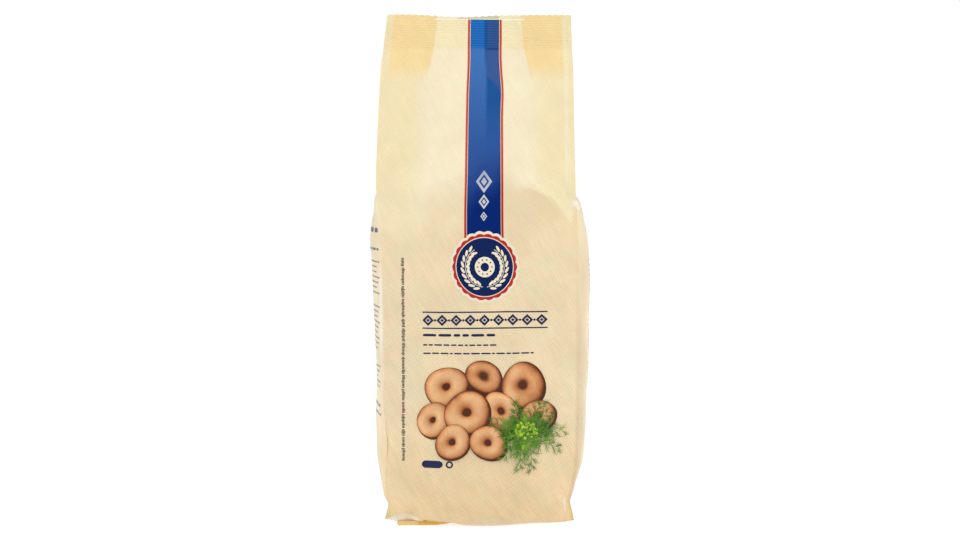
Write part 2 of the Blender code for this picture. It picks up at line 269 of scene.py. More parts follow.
FRONT_Y = ((0, 0.0190), (0.0015, 0.0228), (0.005, 0.0268), (0.011, 0.0308), (0.020, 0.0335),
           (0.040, 0.0356), (0.075, 0.0361), (0.115, 0.0350), (0.150, 0.0320), (0.184, 0.0262),
           (0.212, 0.0175), (0.239, 0.0089), (0.257, 0.0031), (SEAL_BOTTOM, SHEET))
BACK_Y = ((0, 0.0195), (0.0015, 0.0230), (0.005, 0.0268), (0.011, 0.0304), (0.020, 0.0330),
          (0.040, 0.0348), (0.075, 0.0356), (0.115, 0.0352), (0.150, 0.0326), (0.184, 0.0266),
          (0.212, 0.0178), (0.239, 0.0090), (0.257, 0.0031), (SEAL_BOTTOM, SHEET))
RIGHT_GUSSET = ((0, 0), (0.010, 0.0002), (0.0145, 0.0014), (0.021, 0.0026), (0.028, 0.0042),
                (0.035, 0.0056), (0.058, 0.0070), (0.096, 0.0083), (0.112, 0.0088), (0.132, 0.0088),
                (0.157, 0.0075), (0.170, 0.0056), (0.1775, 0.0040), (0.1815, 0.0030), (0.1845, 0.0006),
                (0.187, -0.0040), (0.192, -0.0110), (0.202, -0.0190), (0.218, -0.0255),
                (0.241, -0.0286), (SEAL_BOTTOM, -0.0295))
LEFT_GUSSET = ((0, 0), (0.008, 0.0002), (0.014, 0.0014), (0.028, 0.0030), (0.041, 0.0042),
               (0.086, 0.0046), (0.120, 0.0052), (0.147, 0.0067), (0.157, 0.0070), (0.165, 0.0059),
               (0.175, 0.0032), (0.183, 0.0008), (0.189, -0.0030), (0.198, -0.0120),
               (0.211, -0.0210), (0.226, -0.0268), (0.246, -0.0289), (SEAL_BOTTOM, -0.0295))
PINCH = ((0, 1.0), (0.010, 0.85), (0.030, 0.35), (0.050, 0.0), (SEAL_BOTTOM, 0.0))
print("half depth of the front at half height", round(1000 * float(through(FRONT_Y, 0.14)), 1), "mm")

# %% [markdown]
# ## Biscuits that press from inside
#
# The rings are hard and the film is thin, so the filled part isn't smooth: it is tight over each
# biscuit and slack between them. A jittered, seeded grid of touching points round the tube gives
# one round bump each, and a power mean of the bumps keeps the highest one at every place.

# %% Biscuit bumps
BISCUIT_PITCH, BISCUIT_REACH, BISCUIT_PRESS, BISCUIT_BLEND = 0.030, 0.023, 0.0024, 5
PRESS_MEAN, BISCUIT_JITTER = 0.6, 0.34
FILL_PEAK, FILL_SIDE, FILL_FADE = 0.200, 0.170, 0.012


def biscuit_centres():
    """A brick-like grid round the tube and up it, each point moved by up to a third of the pitch."""
    columns, rows = round(AROUND / BISCUIT_PITCH), math.ceil(FILL_PEAK / BISCUIT_PITCH) + 1
    column, row = np.meshgrid(np.arange(columns), np.arange(rows))
    jitter = np.random.default_rng(7).uniform(-BISCUIT_JITTER, BISCUIT_JITTER, (2, rows, columns))
    around = (column + 0.5 * (row % 2) + jitter[0]) * AROUND / columns
    return np.stack([around.ravel() % AROUND, ((row + 0.2 + jitter[1]) * BISCUIT_PITCH).ravel()], axis=1)


def biscuit_press(u, v):
    """Power mean over all centres of 1 - (distance / reach)², times the press."""
    total = np.zeros(np.broadcast(u, v).shape)
    for centre, level in biscuit_centres():
        sideways = np.abs(np.mod(u - centre + AROUND / 2, AROUND) - AROUND / 2)
        total += np.clip(1 - (sideways**2 + (v - level) ** 2) / BISCUIT_REACH**2, 0, 1) ** BISCUIT_BLEND
    return BISCUIT_PRESS * (np.minimum(total, 1.3) ** (1 / BISCUIT_BLEND) - PRESS_MEAN)


def fill_height(across):
    """The heap's top: a rounded hump, a little right of the middle."""
    hump = np.cos(np.clip(across - 0.15, -1, 1) * math.pi / 2) ** 1.5
    return FILL_SIDE + (FILL_PEAK - FILL_SIDE) * hump


print(len(biscuit_centres()), "touching points")

# %% [markdown]
# ## Creases
#
# Where the full belly meets the flat folded top, the film gives way along slanting creases. Each
# is a line with a steep side and a long side, like a small dune: relief falls off exponentially
# with the distance from the line, at two different rates.

# %% Creases of the front and back
# Each crease: its ends (share of the half panel, height), its size, and its reach above and below.
FRONT_CREASES = (((0.52, 0.193), (0.97, 0.168), 0.0016, 0.003, 0.008),
                 ((-0.80, 0.184), (-0.10, 0.197), 0.0012, 0.008, 0.016),
                 ((-0.98, 0.024), (-0.35, 0.008), 0.0012, 0.005, 0.009),
                 ((0.45, 0.010), (0.97, 0.026), 0.0010, 0.005, 0.009))
BACK_CREASES = (((-0.95, 0.170), (-0.25, 0.199), 0.0018, 0.005, 0.014),
                ((0.20, 0.195), (0.92, 0.180), 0.0014, 0.006, 0.015),
                ((-0.96, 0.026), (-0.40, 0.009), 0.0011, 0.005, 0.009))
CREASE_ROUND = 0.0008


def crease_relief(creases, across, v):
    """Sum over creases of size × exp(-distance / width), faded in and out along the line."""
    total = np.zeros(np.broadcast(across, v).shape)
    for start, end, size, above, below in creases:
        x0, z0, x1, z1 = start[0] * PANEL / 2, start[1], end[0] * PANEL / 2, end[1]
        length = math.hypot(x1 - x0, z1 - z0)
        x = across * PANEL / 2
        along = ((x - x0) * (x1 - x0) + (v - z0) * (z1 - z0)) / length**2
        off = ((v - z0) * (x1 - x0) - (x - x0) * (z1 - z0)) / length
        fall = np.exp((CREASE_ROUND - np.hypot(off, CREASE_ROUND)) / np.where(off > 0, above, below))
        total += size * fall * ease(-0.25, 0.15, along) * (1 - ease(0.85, 1.25, along))
    return total


print(len(FRONT_CREASES) + len(BACK_CREASES), "creases")

# %% [markdown]
# ## Panels and gussets
#
# A panel is crowned between its two creases, and pinched to thin ears at the bottom. A gusset is
# a low arch round the biscuits, and a sharp V folded inwards above them. In the top seal all four
# layers are pressed together, so the V is gone and the film ends in a thin corrugated strip.

# %% Panel and gusset formulas
STRAIGHT = 0.978
FRONT_MIDDLE_X = ((0, -0.0021), (0.140, -0.0019), (0.165, -0.0023), (0.210, -0.0014), (0.240, -0.0007),
                  (0.262, -0.0001), (HEIGHT, 0.0))
CRIMP_PITCH, CRIMP_DEPTH = 0.00135, 0.00010
TOOTH_DEPTH, TOOTH_COUNT = 0.00045, 28
TOP_WAVES = ((0.0016, 0.084, 0.6), (0.0008, 0.039, -0.9))


def crease_x(side, v):
    """How far the left (-1) or right (1) crease stands from the middle, with its sign."""
    return np.where(side < 0, -through(LEFT_CREASE_X, v), through(RIGHT_CREASE_X, v))


def panel_x(across, v, middle):
    """Middle line + even spacing near it, bent out to the creases with the cube of the distance."""
    miss = crease_x(np.sign(across), v) - middle - STRAIGHT * np.sign(across) * PANEL / 2
    return middle + STRAIGHT * across * PANEL / 2 + miss * np.abs(across) ** 3


def top_wave(x):
    """A sum of sines: how far the seal strays from a flat plane."""
    return sum(depth * np.sin(x * math.tau / length + shift) for depth, length, shift in TOP_WAVES)


def crimp(v):
    """Corrugation of the seal: a sine of the height, from the seal's foot to just under its edge."""
    share = ease(SEAL_BOTTOM, SEAL_BOTTOM + 0.001, v) * (1 - ease(HEIGHT - 0.0022, HEIGHT - 0.0014, v))
    return CRIMP_DEPTH * share * np.sin(math.tau * (v - SEAL_BOTTOM) / CRIMP_PITCH)


def panel(across, v, front):
    """Crease + (middle - crease) × (1 - |across|ⁿ)ᵏ + bumps + creases; the pinch sets n and k."""
    middle, edge, pinch = through(FRONT_Y if front else BACK_Y, v), through(CREASE_Y, v), through(PINCH, v)
    crown = np.clip(1 - np.abs(across) ** (2.3 + 1.7 * pinch), 0, 1) ** (1 + 0.6 * pinch)
    u = (0.5 + across / 2) * PANEL if front else PANEL + GUSSET + (0.5 - across / 2) * PANEL
    filled = 1 - ease(-FILL_FADE, FILL_FADE, v - fill_height(across))
    relief = biscuit_press(u, v) * filled + crease_relief(FRONT_CREASES if front else BACK_CREASES, across, v)
    depth = edge + (middle - edge) * crown + relief * (1 - np.abs(across) ** 6) * ease(0.002, 0.022, v)
    x = panel_x(across, v, through(FRONT_MIDDLE_X, v) if front else 0.0)
    return x, depth if not front else -depth


def gusset(around, v, right):
    """Arch 4t(1-t) where it stands out, tent 1-|2t-1| where it is folded in, times its reach."""
    reach = through(RIGHT_GUSSET if right else LEFT_GUSSET, v)
    tent, arch = 1 - np.abs(2 * around - 1), 4 * around * (1 - around)
    folded = 1 - ease(-0.006, 0.002, reach)
    sealed = ease(SEAL_BOTTOM, SEAL_BOTTOM + 0.0003, v)
    shape = arch + (0.12 + 0.88 * folded) * (tent - arch)
    u = PANEL + around * GUSSET if right else AROUND - around * GUSSET
    bumps = 0.4 * biscuit_press(u, v) * (1 - folded) * ease(0.010, 0.040, v) * arch
    side = 1 if right else -1
    out = (reach * shape + bumps) * (1 - sealed) + 0.0001 * np.sin(math.pi * around) * sealed
    return crease_x(side, v) + side * out, through(CREASE_Y, v) * (2 * around - 1)


print("the seal has", round(SEAL / CRIMP_PITCH), "ridges")

# %% [markdown]
# ## From film coordinates to space
#
# One function puts the four panels together. Below v = 0 the film turns in under the bag and runs
# to the bottom weld, which lies folded forwards under the base. At the front left the film doesn't
# reach the table, and the folded weld shows beneath it. At two places the film's lowest edge is
# folded out into a flat lens, and the weld's right ear is bent forwards. Each lens later gets a
# painted reflection of the table, one grey and one pale.

# %% The whole film
TUCK = 0.019
LIFT, LIFT_FROM, LIFT_TO, LIFT_EASE, LIFT_TOP = 0.0017, -0.050, -0.009, 0.011, 0.014
EAR_FORWARD, OVER_FLAP = 0.0095, 0.0006
# Each foot lens: its middle, half width and height, how far it stands out, and the share of its painted
# reflection.
FOOT_LENSES = ((0.0610, 0.0175, 0.0066, 0.16, 0.75), (0.0132, 0.0125, 0.0050, 0.30, 0.70))
DIP, DIP_X, DIP_WIDTH = 0.0014, -0.010, 0.016


def film(u, v):
    """Points of the film at u round the tube and v up it; v below 0 is under the base."""
    u, v = np.broadcast_arrays(np.asarray(u, float), np.asarray(v, float))
    up = np.clip(v, 0, None)
    parts = [panel(np.clip(2 * u / PANEL - 1, -1, 1), up, True),
             gusset(np.clip((u - PANEL) / GUSSET, 0, 1), up, True),
             panel(np.clip(1 - 2 * (u - PANEL - GUSSET) / PANEL, -1, 1), up, False),
             gusset(np.clip((AROUND - u) / GUSSET, 0, 1), up, False)]
    which = np.searchsorted([PANEL, PANEL + GUSSET, AROUND - GUSSET], u, side="left")
    x = np.choose(which, [part[0] for part in parts])
    y = np.choose(which, [part[1] for part in parts])
    y = y * np.clip(1 + np.minimum(v, 0) / TUCK, 0.02, 1)
    for centre, reach, height, stand_out, _ in FOOT_LENSES:
        arch = height * np.clip(1 - ((u - centre) / reach) ** 2, 0, 1)
        y = y * (1 + stand_out * np.clip(arch - up, 0, None) / height)
    y = y - EAR_FORWARD * ease(0.028, 0.050, x) * (1 - ease(0.003, 0.024, up))
    y = y + top_wave(x) * ease(0.210, SEAL_BOTTOM, up) + crimp(up)
    window = ease(LIFT_FROM, LIFT_FROM + LIFT_EASE, x) * (1 - ease(LIFT_TO - LIFT_EASE, LIFT_TO, x))
    lift = LIFT * window * ease(0.005, 0.010, -y) * (1 - ease(0, LIFT_TOP, up))
    over_flap = OVER_FLAP * ease(0.0, 0.002, -v)
    sag = DIP * np.exp(-(((x - DIP_X) / DIP_WIDTH) ** 2)) * ease(HEIGHT - 0.0030, HEIGHT, up)
    return np.stack([x, y, np.maximum(up + np.maximum(lift, over_flap) - sag, 0)], axis=-1)


corner = film(np.array([0.0, PANEL]), np.array([0.1, 0.1]))
print("creases at 100 mm:", np.round(1000 * corner, 1).tolist())

# %% [markdown]
# ## The bag's mesh
#
# The two film coordinates make a grid: evenly spaced columns round the tube, and rows that stand
# closer at the base, over the shoulders and in the crimped seal. The columns of front and back
# match, so the open ends are closed by plain strips between them.

# %% Grid of the film
PANEL_COLUMNS, GUSSET_COLUMNS = TOOTH_COUNT * 6, 44


def evenly(*bands):
    """Values from low to high in each (low, high, steps) band, without the last high."""
    return np.concatenate([np.linspace(low, high, steps, endpoint=False) for low, high, steps in bands])


columns = evenly((0, PANEL, PANEL_COLUMNS), (PANEL, PANEL + GUSSET, GUSSET_COLUMNS),
                 (PANEL + GUSSET, AROUND - GUSSET, PANEL_COLUMNS), (AROUND - GUSSET, AROUND, GUSSET_COLUMNS))
rows = np.append(evenly((-TUCK, 0, 4), (0, 0.003, 4), (0.003, 0.020, 12), (0.020, 0.150, 58),
                        (0.150, 0.215, 44), (0.215, SEAL_BOTTOM, 22), (SEAL_BOTTOM, SEAL_BOTTOM + 0.0003, 1),
                        (SEAL_BOTTOM + 0.0003, HEIGHT - TOOTH_DEPTH, 70)), HEIGHT)
grid_u, grid_v = np.meshgrid(columns, rows)
grid_points = film(grid_u, grid_v)
print("grid", grid_points.shape[:2])

# %% [markdown]
# ## Small relief
#
# Real film also shows what no machine planned: dents at the lower corners, a pressed line down
# the right of the empty top, and short pulls round the fill line. They are pushed along the
# surface's own normals, after the main form is there.

# %% Normals and small relief


def normals_of(points):
    """Unit cross product of the steps round the tube and up it."""
    around = np.roll(points, -1, axis=1) - np.roll(points, 1, axis=1)
    normal = np.cross(around, np.gradient(points, axis=0))
    return normal / np.maximum(np.linalg.norm(normal, axis=-1, keepdims=True), 1e-12)


def from_u(u, centre):
    """Signed distance round the tube."""
    return np.mod(u - centre + AROUND / 2, AROUND) - AROUND / 2


# Each dent: its middle, half sizes across and up, and its depth, which is below 0 for a bulge.
DENTS = ((0.1115, 0.179, 0.0042, 0.0030, -0.0007), (0.0010, 0.047, 0.0070, 0.0110, 0.0020),
         (0.1035, 0.030, 0.0060, 0.0110, 0.0008), (0.0150, 0.108, 0.0080, 0.0150, 0.0007),
         (0.0980, 0.128, 0.0060, 0.0140, 0.0007), (0.1085, 0.176, 0.0030, 0.0080, 0.0010),
         (0.2850, 0.060, 0.0080, 0.0160, 0.0012), (0.1660, 0.095, 0.0070, 0.0150, 0.0010))
PRESSED_U, PRESSED_DRIFT, PRESSED_WIDTH, PRESSED_HEIGHT = 0.1052, 0.0012, 0.0007, 0.00028
PULLS, PULL_HEIGHT = 90, 0.00022


def small_relief(u, v):
    """Hollows and one bulge as Gaussians, the pressed line as a narrow ridge, and many small pulls."""
    relief = np.zeros(u.shape)
    for centre, level, wide, high, depth in DENTS:
        relief -= depth * np.exp(-((from_u(u, centre) / wide) ** 2 + ((v - level) / high) ** 2))
    line = np.exp(-(((u - PRESSED_U - PRESSED_DRIFT * ease(0.266, 0.19, v)) / PRESSED_WIDTH) ** 2))
    relief += PRESSED_HEIGHT * line * ease(0.182, 0.192, v) * (1 - ease(0.262, 0.266, v))
    draw = np.random.default_rng(11)
    for _ in range(PULLS):
        centre, slant = draw.uniform(0, AROUND), draw.normal(0, 0.7)
        inwards = 1 - abs(np.mod(centre, PANEL + GUSSET) / PANEL * 2 - 1)
        level = fill_height(inwards) + draw.normal(-0.006, 0.016)
        length, width, size = draw.uniform(0.004, 0.013), draw.uniform(0.0012, 0.0028), draw.uniform(-1, 1)
        across, along = from_u(u, centre), v - level
        run = across * math.cos(slant) + along * math.sin(slant)
        off = along * math.cos(slant) - across * math.sin(slant)
        relief += PULL_HEIGHT * size * np.exp(-((run / length) ** 2) - (off / width) ** 2)
    return relief * ease(0.0, 0.004, v) * (1 - ease(SEAL_BOTTOM - 0.012, SEAL_BOTTOM, v))


grid_points = grid_points + normals_of(grid_points) * small_relief(grid_u, grid_v)[..., None]
grid_points[..., 2] = np.maximum(grid_points[..., 2], 0)
in_panel = np.mod(columns, PANEL + GUSSET)
phase = in_panel / PANEL * TOOTH_COUNT
zigzag = np.where(in_panel < PANEL, 2 * np.abs(phase - np.floor(phase) - 0.5), 1)
grid_points[-1, :, 2] -= TOOTH_DEPTH * zigzag
grid_normals = normals_of(grid_points)
print("lowest and highest point", grid_points[..., 2].min(), grid_points[..., 2].max())

# %% [markdown]
# ## What the film lies against
#
# The film is thin, so it looks lighter over the empty top, where light comes through it, than
# over the biscuits, and a shade deeper where it touches one. Two numbers are kept with every point
# of the mesh for the materials to read: how full the bag is behind it, and how close it touches,
# with a painted shade added just under the edge of the fill at the front's right.

# %% Fullness, touch and painted edge shade
# The edge of the fill at the front's right, where the film is drawn tight: places along it.
FILL_EDGE = ((0.0830, 0.1905), (0.0905, 0.1868), (0.0962, 0.1845), (0.1003, 0.1797), (0.1030, 0.1755),
             (0.1060, 0.1695))
# Painted shade just under that edge: its strength and how fast it fades downwards.
EDGE_SHADE, EDGE_SHADE_REACH = 0.55, 0.009


def fullness(u, v):
    """1 over the biscuits, 0 over the empty top, with a soft and uneven edge."""
    in_panel = np.mod(u, PANEL + GUSSET)
    across = np.where(in_panel < PANEL, 2 * in_panel / PANEL - 1, 1.0)
    uneven = 0.0030 * np.sin(u * 190 + 1.3) + 0.0016 * np.sin(u * 470 + 0.4)
    soft = 0.017 - 0.0155 * ease(0.15, 0.55, across) * (u < PANEL)
    taut = ease(0.072, 0.083, u) * (1 - ease(0.1060, 0.1090, u))
    edge = (1 - taut) * (fill_height(across) + uneven) + taut * np.interp(u, *np.transpose(FILL_EDGE))
    return 1 - ease(-1.3 * soft, 0.6 * soft, v - edge)


def touch_and_edge_shade(u, v):
    """The biscuits' press, 0 in hollows and 1 on top, plus painted shade just under the edge of the fill."""
    below = np.interp(u, *np.transpose(FILL_EDGE)) - v
    painted_edge_shade = np.exp(-np.abs(below) / EDGE_SHADE_REACH) * ease(-0.0004, 0.0008, below)
    painted_edge_shade = EDGE_SHADE * painted_edge_shade * ease(0.082, 0.092, u) * (u < 0.108)
    return (np.clip(biscuit_press(u, v) / BISCUIT_PRESS + PRESS_MEAN, 0, 1) + painted_edge_shade) * fullness(u, v)


print("mean fullness of the grid", round(float(fullness(grid_u, grid_v).mean()), 2))

# %% Places on the finished film
ring_u = np.append(columns, AROUND)
ring_points = np.concatenate([grid_points, grid_points[:, :1]], axis=1)
ring_normals = np.concatenate([grid_normals, grid_normals[:, :1]], axis=1)


def on_film(u, v, lift=0.0):
    """The mesh's own surface at film coordinates, each cell blended from its corners, plus a lift."""
    u, v = np.broadcast_arrays(np.mod(u, AROUND), np.asarray(v, float))
    i = np.clip(np.searchsorted(ring_u, u, side="right") - 1, 0, len(columns) - 1)
    j = np.clip(np.searchsorted(rows, v, side="right") - 1, 0, len(rows) - 2)
    s = ((u - ring_u[i]) / (ring_u[i + 1] - ring_u[i]))[..., None]
    t = ((v - rows[j]) / (rows[j + 1] - rows[j]))[..., None]
    corners = [(1 - s) * (1 - t), s * (1 - t), (1 - s) * t, s * t]
    steps = [(0, 0), (0, 1), (1, 0), (1, 1)]
    point, normal = (sum(share * table[j + up, i + on] for share, (up, on) in zip(corners, steps))
                     for table in (ring_points, ring_normals))
    return point + np.asarray(lift)[..., None] * normal / np.linalg.norm(normal, axis=-1, keepdims=True)


print("middle of the front at 100 mm:", np.round(1000 * on_film(0.055, 0.1), 1).tolist())

# %% Faces and pieces


def grid_quads(row_count, column_count, closed=False):
    """Four corner indices for each cell of a grid, wrapping round if it is closed."""
    first = np.arange(column_count if closed else column_count - 1)
    here, there = first, (first + 1) % column_count
    base = np.arange(row_count - 1)[:, None] * column_count
    return np.stack([base + here, base + there, base + column_count + there, base + column_count + here],
                    axis=-1).reshape(-1, 4)


def corners_of(polygons):
    """The points at the corners of the polygons, one after another."""
    return np.array([corner for polygon in polygons for corner in polygon])


def mesh_piece(name, points, polygons, corner_uv, material, marks):
    """One object from arrays: points, polygons, film coordinates of each corner, and point values."""
    mesh = bpy.data.meshes.new(name)
    mesh.from_pydata(points.reshape(-1, 3).tolist(), [], polygons)
    mesh.uv_layers.new(name="film").data.foreach_set("uv", np.asarray(corner_uv, np.float32).ravel())
    for mark, values in marks.items():
        kept = mesh.attributes.new(mark, "FLOAT", "POINT").data
        kept.foreach_set("value", np.asarray(values, np.float32).ravel())
    mesh.polygons.foreach_set("use_smooth", np.ones(len(mesh.polygons), bool))
    mesh.materials.append(material)
    piece = bpy.data.objects.new(name, mesh)
    scene.collection.objects.link(piece)
    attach(piece, "root")
    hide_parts("biscuit_bag")
    return piece


print("a 3 by 4 grid has", len(grid_quads(3, 4)), "cells")

# %% [markdown]
# ## Effects that several materials share
#
# Three effects are node groups, built once. The weave is print, not relief: two families of fine
# lines, one stronger, that fade in and out along their length, with lighter streaks here and
# there. The second group takes one colour over the biscuits and one over the empty top. The
# third gives an ink the slight unevenness of real printing.

# %% Group helper


def effect(name, inputs, outputs):
    """An empty node group with named sockets; gives the tree, its inputs and its output node."""
    tree = bpy.data.node_groups.new(name, "ShaderNodeTree")
    for direction, sockets in (("INPUT", inputs), ("OUTPUT", outputs)):
        for label, (kind, value) in sockets.items():
            socket = tree.interface.new_socket(label, in_out=direction, socket_type="NodeSocket" + kind)
            if value is not None:
                socket.default_value = value
    return tree, node(tree, "NodeGroupInput").outputs, node(tree, "NodeGroupOutput")


def use(tree, group, **inputs):
    """Places a group in a material and gives its first output."""
    made = node(tree, "ShaderNodeGroup", node_tree=group)
    for name, value in inputs.items():
        name = name.replace("_", " ")
        if isinstance(value, bpy.types.NodeSocket):
            tree.links.new(value, made.inputs[name])
        else:
            made.inputs[name].default_value = value
    return made.outputs[0]


def film_uv(tree):
    """The two film coordinates as sockets, in metres."""
    split = node(tree, "ShaderNodeSeparateXYZ", {0: node(tree, "ShaderNodeUVMap", uv_map="film").outputs[0]})
    return split.outputs["X"], split.outputs["Y"]


def grain(tree, x, y, scale=1.0, detail=2.0):
    """Noise in the plane of two sockets, about 0.5 in the mean."""
    place = node(tree, "ShaderNodeCombineXYZ", {0: x, 1: y}).outputs[0]
    noise = node(tree, "ShaderNodeTexNoise", {"Vector": place, "Scale": scale, "Detail": detail})
    return noise.outputs[0]


def along(tree, u, v, angle, scale=1.0):
    """The film coordinate in a slanting direction: u × cosine + v × sine, times a scale."""
    first, second = math.cos(angle) * scale, math.sin(angle) * scale
    return maths(tree, "ADD", times(tree, u, first), times(tree, v, second))


print("group helpers ready")

# %% Woven print
WEAVE_ANGLE, WEAVE_PITCH = math.radians(30), 0.00138
WARP_SHARE, WEFT_SHARE, THREAD_WANDER = 0.62, 0.37, 1.6
woven_print, given, result = effect("woven_print", {"Pitch": ("Float", WEAVE_PITCH),
                                                    "Strength": ("Float", 0.08)}, {"Shade": ("Float", None)})
tree = woven_print
u, v = film_uv(tree)
warp, weft = (maths(tree, "DIVIDE", along(tree, u, v, WEAVE_ANGLE + turn), given["Pitch"])
              for turn in (0, math.pi / 2))
wander = spread(tree, grain(tree, u, v, 150.0), 0, 1, -THREAD_WANDER, THREAD_WANDER)
threads = []
for across, lengthways, share in ((warp, weft, WARP_SHARE), (weft, warp, WEFT_SHARE)):
    wave = maths(tree, "SINE", maths(tree, "MULTIPLY_ADD", across, math.tau, wander))
    firm = spread(tree, grain(tree, across, times(tree, lengthways, 0.14)), 0.34, 0.64)
    threads.append(times(tree, wave, firm, share))
streaks = grain(tree, times(tree, warp, 0.42), times(tree, weft, 0.11))
streaks = spread(tree, streaks, 0.25, 0.75, -0.30, 0.30)
total = maths(tree, "ADD", maths(tree, "ADD", *threads), streaks)
tree.links.new(maths(tree, "MULTIPLY_ADD", total, given["Strength"], 1.0), result.inputs["Shade"])
print(woven_print.name, len(woven_print.nodes), "nodes")

# %% Colour over biscuits and over air
over_filling, given, result = effect("over_filling", {"Over air": ("Color", (0.9, 0.8, 0.6, 1)),
                                                      "Over biscuits": ("Color", (0.8, 0.7, 0.5, 1))},
                                     {"Colour": ("Color", None)})
tree = over_filling
both = mixed(tree, point_value(tree, "fullness"), given["Over air"], given["Over biscuits"])
tree.links.new(both, result.inputs["Colour"])
print(over_filling.name, len(over_filling.nodes), "nodes")

# %% Uneven ink
uneven_ink, given, result = effect("uneven_ink", {"Colour": ("Color", (0.5, 0.5, 0.5, 1)),
                                                  "Amount": ("Float", 0.1)}, {"Colour": ("Color", None)})
tree = uneven_ink
u, v = film_uv(tree)
patches = maths(tree, "SUBTRACT", grain(tree, u, v, 700.0, 3.0), 0.5)
shade = maths(tree, "MULTIPLY_ADD", patches, times(tree, given["Amount"], 2.0), 1.0)
tree.links.new(mixed(tree, 1.0, given["Colour"], shade, "MULTIPLY"), result.inputs["Colour"])
print(uneven_ink.name, len(uneven_ink.nodes), "nodes")

# %% [markdown]
# ## Cream film
#
# The film's ground is a warm cream. Four layers lie on each other where the gussets are pressed
# into the top, and the cream is deeper there, with a clear edge in the weld that fades out below
# it. A pale hairline runs under the cut edge. Each of these is a mask in film coordinates and a
# colour that goes over the ones before. The film is between satin and gloss, and a little uneven,
# so that reflections break up.

# %% Colours of the film
AIR_CREAM, FULL_CREAM = (0.852, 0.742, 0.515, 1), (0.82, 0.660, 0.425, 1)
FOOT_CREAM, WELD_CREAM = (0.775, 0.570, 0.315, 1), (0.87, 0.750, 0.465, 1)
FOUR_LAYERS, EDGE_CREAM = (0.86, 0.645, 0.31, 1), (0.82, 0.665, 0.365, 1)
EAR_ORANGE, OLIVE_EDGE = (0.82, 0.60, 0.26, 1), (0.50, 0.47, 0.27, 1)
PRESSED_HIGHLIGHT, HAIRLINE_PALE = (0.86, 0.83, 0.68, 1), (0.95, 0.93, 0.88, 1)
COOL_TINT, WARM_TINT, RIM_SHADE = (0.955, 1.0, 0.985, 1), (1.0, 0.972, 0.955, 1), (0.81, 0.77, 0.71, 1)
# Colours of the painted reflections of the table on the two foot lenses.
LENS_REFLECTIONS = ((0.75, 0.60, 0.41, 1), (0.90, 0.83, 0.72, 1))
GLINT_PALE, FOOT_LIGHT = (0.92, 0.88, 0.80, 1), (1.0, 0.76, 0.42, 1)
# Each glint: its middle, half sizes and slant, its share and its colour.
GLINTS = (((0.1118, 0.1792), (0.0052, 0.0026), -0.45, 0.80, GLINT_PALE),
          ((0.3352, 0.1200), (0.0040, 0.0300), 0.0, 0.60, GLINT_PALE),
          ((0.1062, 0.0095), (0.0009, 0.0052), 0.0, 0.35, GLINT_PALE),
          ((0.0060, 0.0075), (0.0100, 0.0060), 0.0, 0.45, FOOT_LIGHT))
print(len(GLINTS), "glints")

# %% Masks of the film


def oval(tree, u, v, place, size, slant):
    """A soft mask: 1 in the middle of a slanting ellipse, falling to 0 at its edge."""
    x, y = maths(tree, "SUBTRACT", u, place[0]), maths(tree, "SUBTRACT", v, place[1])
    runs = (along(tree, x, y, slant, 1 / size[0]), along(tree, x, y, slant + math.pi / 2, 1 / size[1]))
    return spread(tree, maths(tree, "ADD", *(times(tree, run, run) for run in runs)), 1.0, 0.25)


film_material, tree, shader = plain_shader("printed_film", Roughness=0.38)
u, v = film_uv(tree)
aside = maths(tree, "ABSOLUTE", maths(tree, "SUBTRACT", maths(tree, "MODULO", u, PANEL + GUSSET), PANEL / 2))
foot = spread(tree, v, 0.075, 0.012, 0, 0.9)
weld = spread(tree, v, SEAL_BOTTOM - 0.0004, SEAL_BOTTOM + 0.0004)
folded_in = times(tree, spread(tree, aside, 0.026, 0.040, 0, 0.60, True),
                  spread(tree, v, 0.140, 0.205, 0, 1, True))
inner = maths(tree, "ADD", spread(tree, v, 0.253, SEAL_BOTTOM, 0.0290, 0.0260),
              spread(tree, v, SEAL_BOTTOM, HEIGHT, 0, -0.002))
four_layers = times(tree, spread(tree, maths(tree, "SUBTRACT", aside, inner), -0.0003, 0.0003),
                    spread(tree, aside, 0.0509, 0.0503), spread(tree, v, 0.2465, 0.258, 0, 1, True))
ear = times(tree, near(tree, u, 0.1120, 0.0050, 0.0045), spread(tree, v, 0.0105, 0.0092))
cut_edge = times(tree, near(tree, u, 0.0545, 0.0120, 0.0117),
                 spread(tree, v, HEIGHT - 0.0021, HEIGHT - 0.0018), 0.8)
# Painted highlight along the pressed line down the right of the empty top.
pressed = times(tree, near(tree, u, PRESSED_U, 0.0016, 0.0002), spread(tree, v, 0.186, 0.196),
                spread(tree, v, 0.2835, 0.2825), 0.40)
rim = times(tree, spread(tree, u, 0.1078, 0.1105), spread(tree, u, 0.130, 0.113, 0, 1, True),
            spread(tree, v, 0.175, 0.080, 0, 1, True))
hairline = times(tree, near(tree, v, HEIGHT - 0.0026, 0.00035, 0.0002),
                 spread(tree, aside, 0.026, 0.0255), 0.8)
print(len(tree.nodes), "nodes for the masks")

# %% Colour layers of the film
layers = [(foot, FOOT_CREAM), (weld, WELD_CREAM), (folded_in, EDGE_CREAM), (four_layers, FOUR_LAYERS),
          (ear, EAR_ORANGE), (cut_edge, OLIVE_EDGE)]
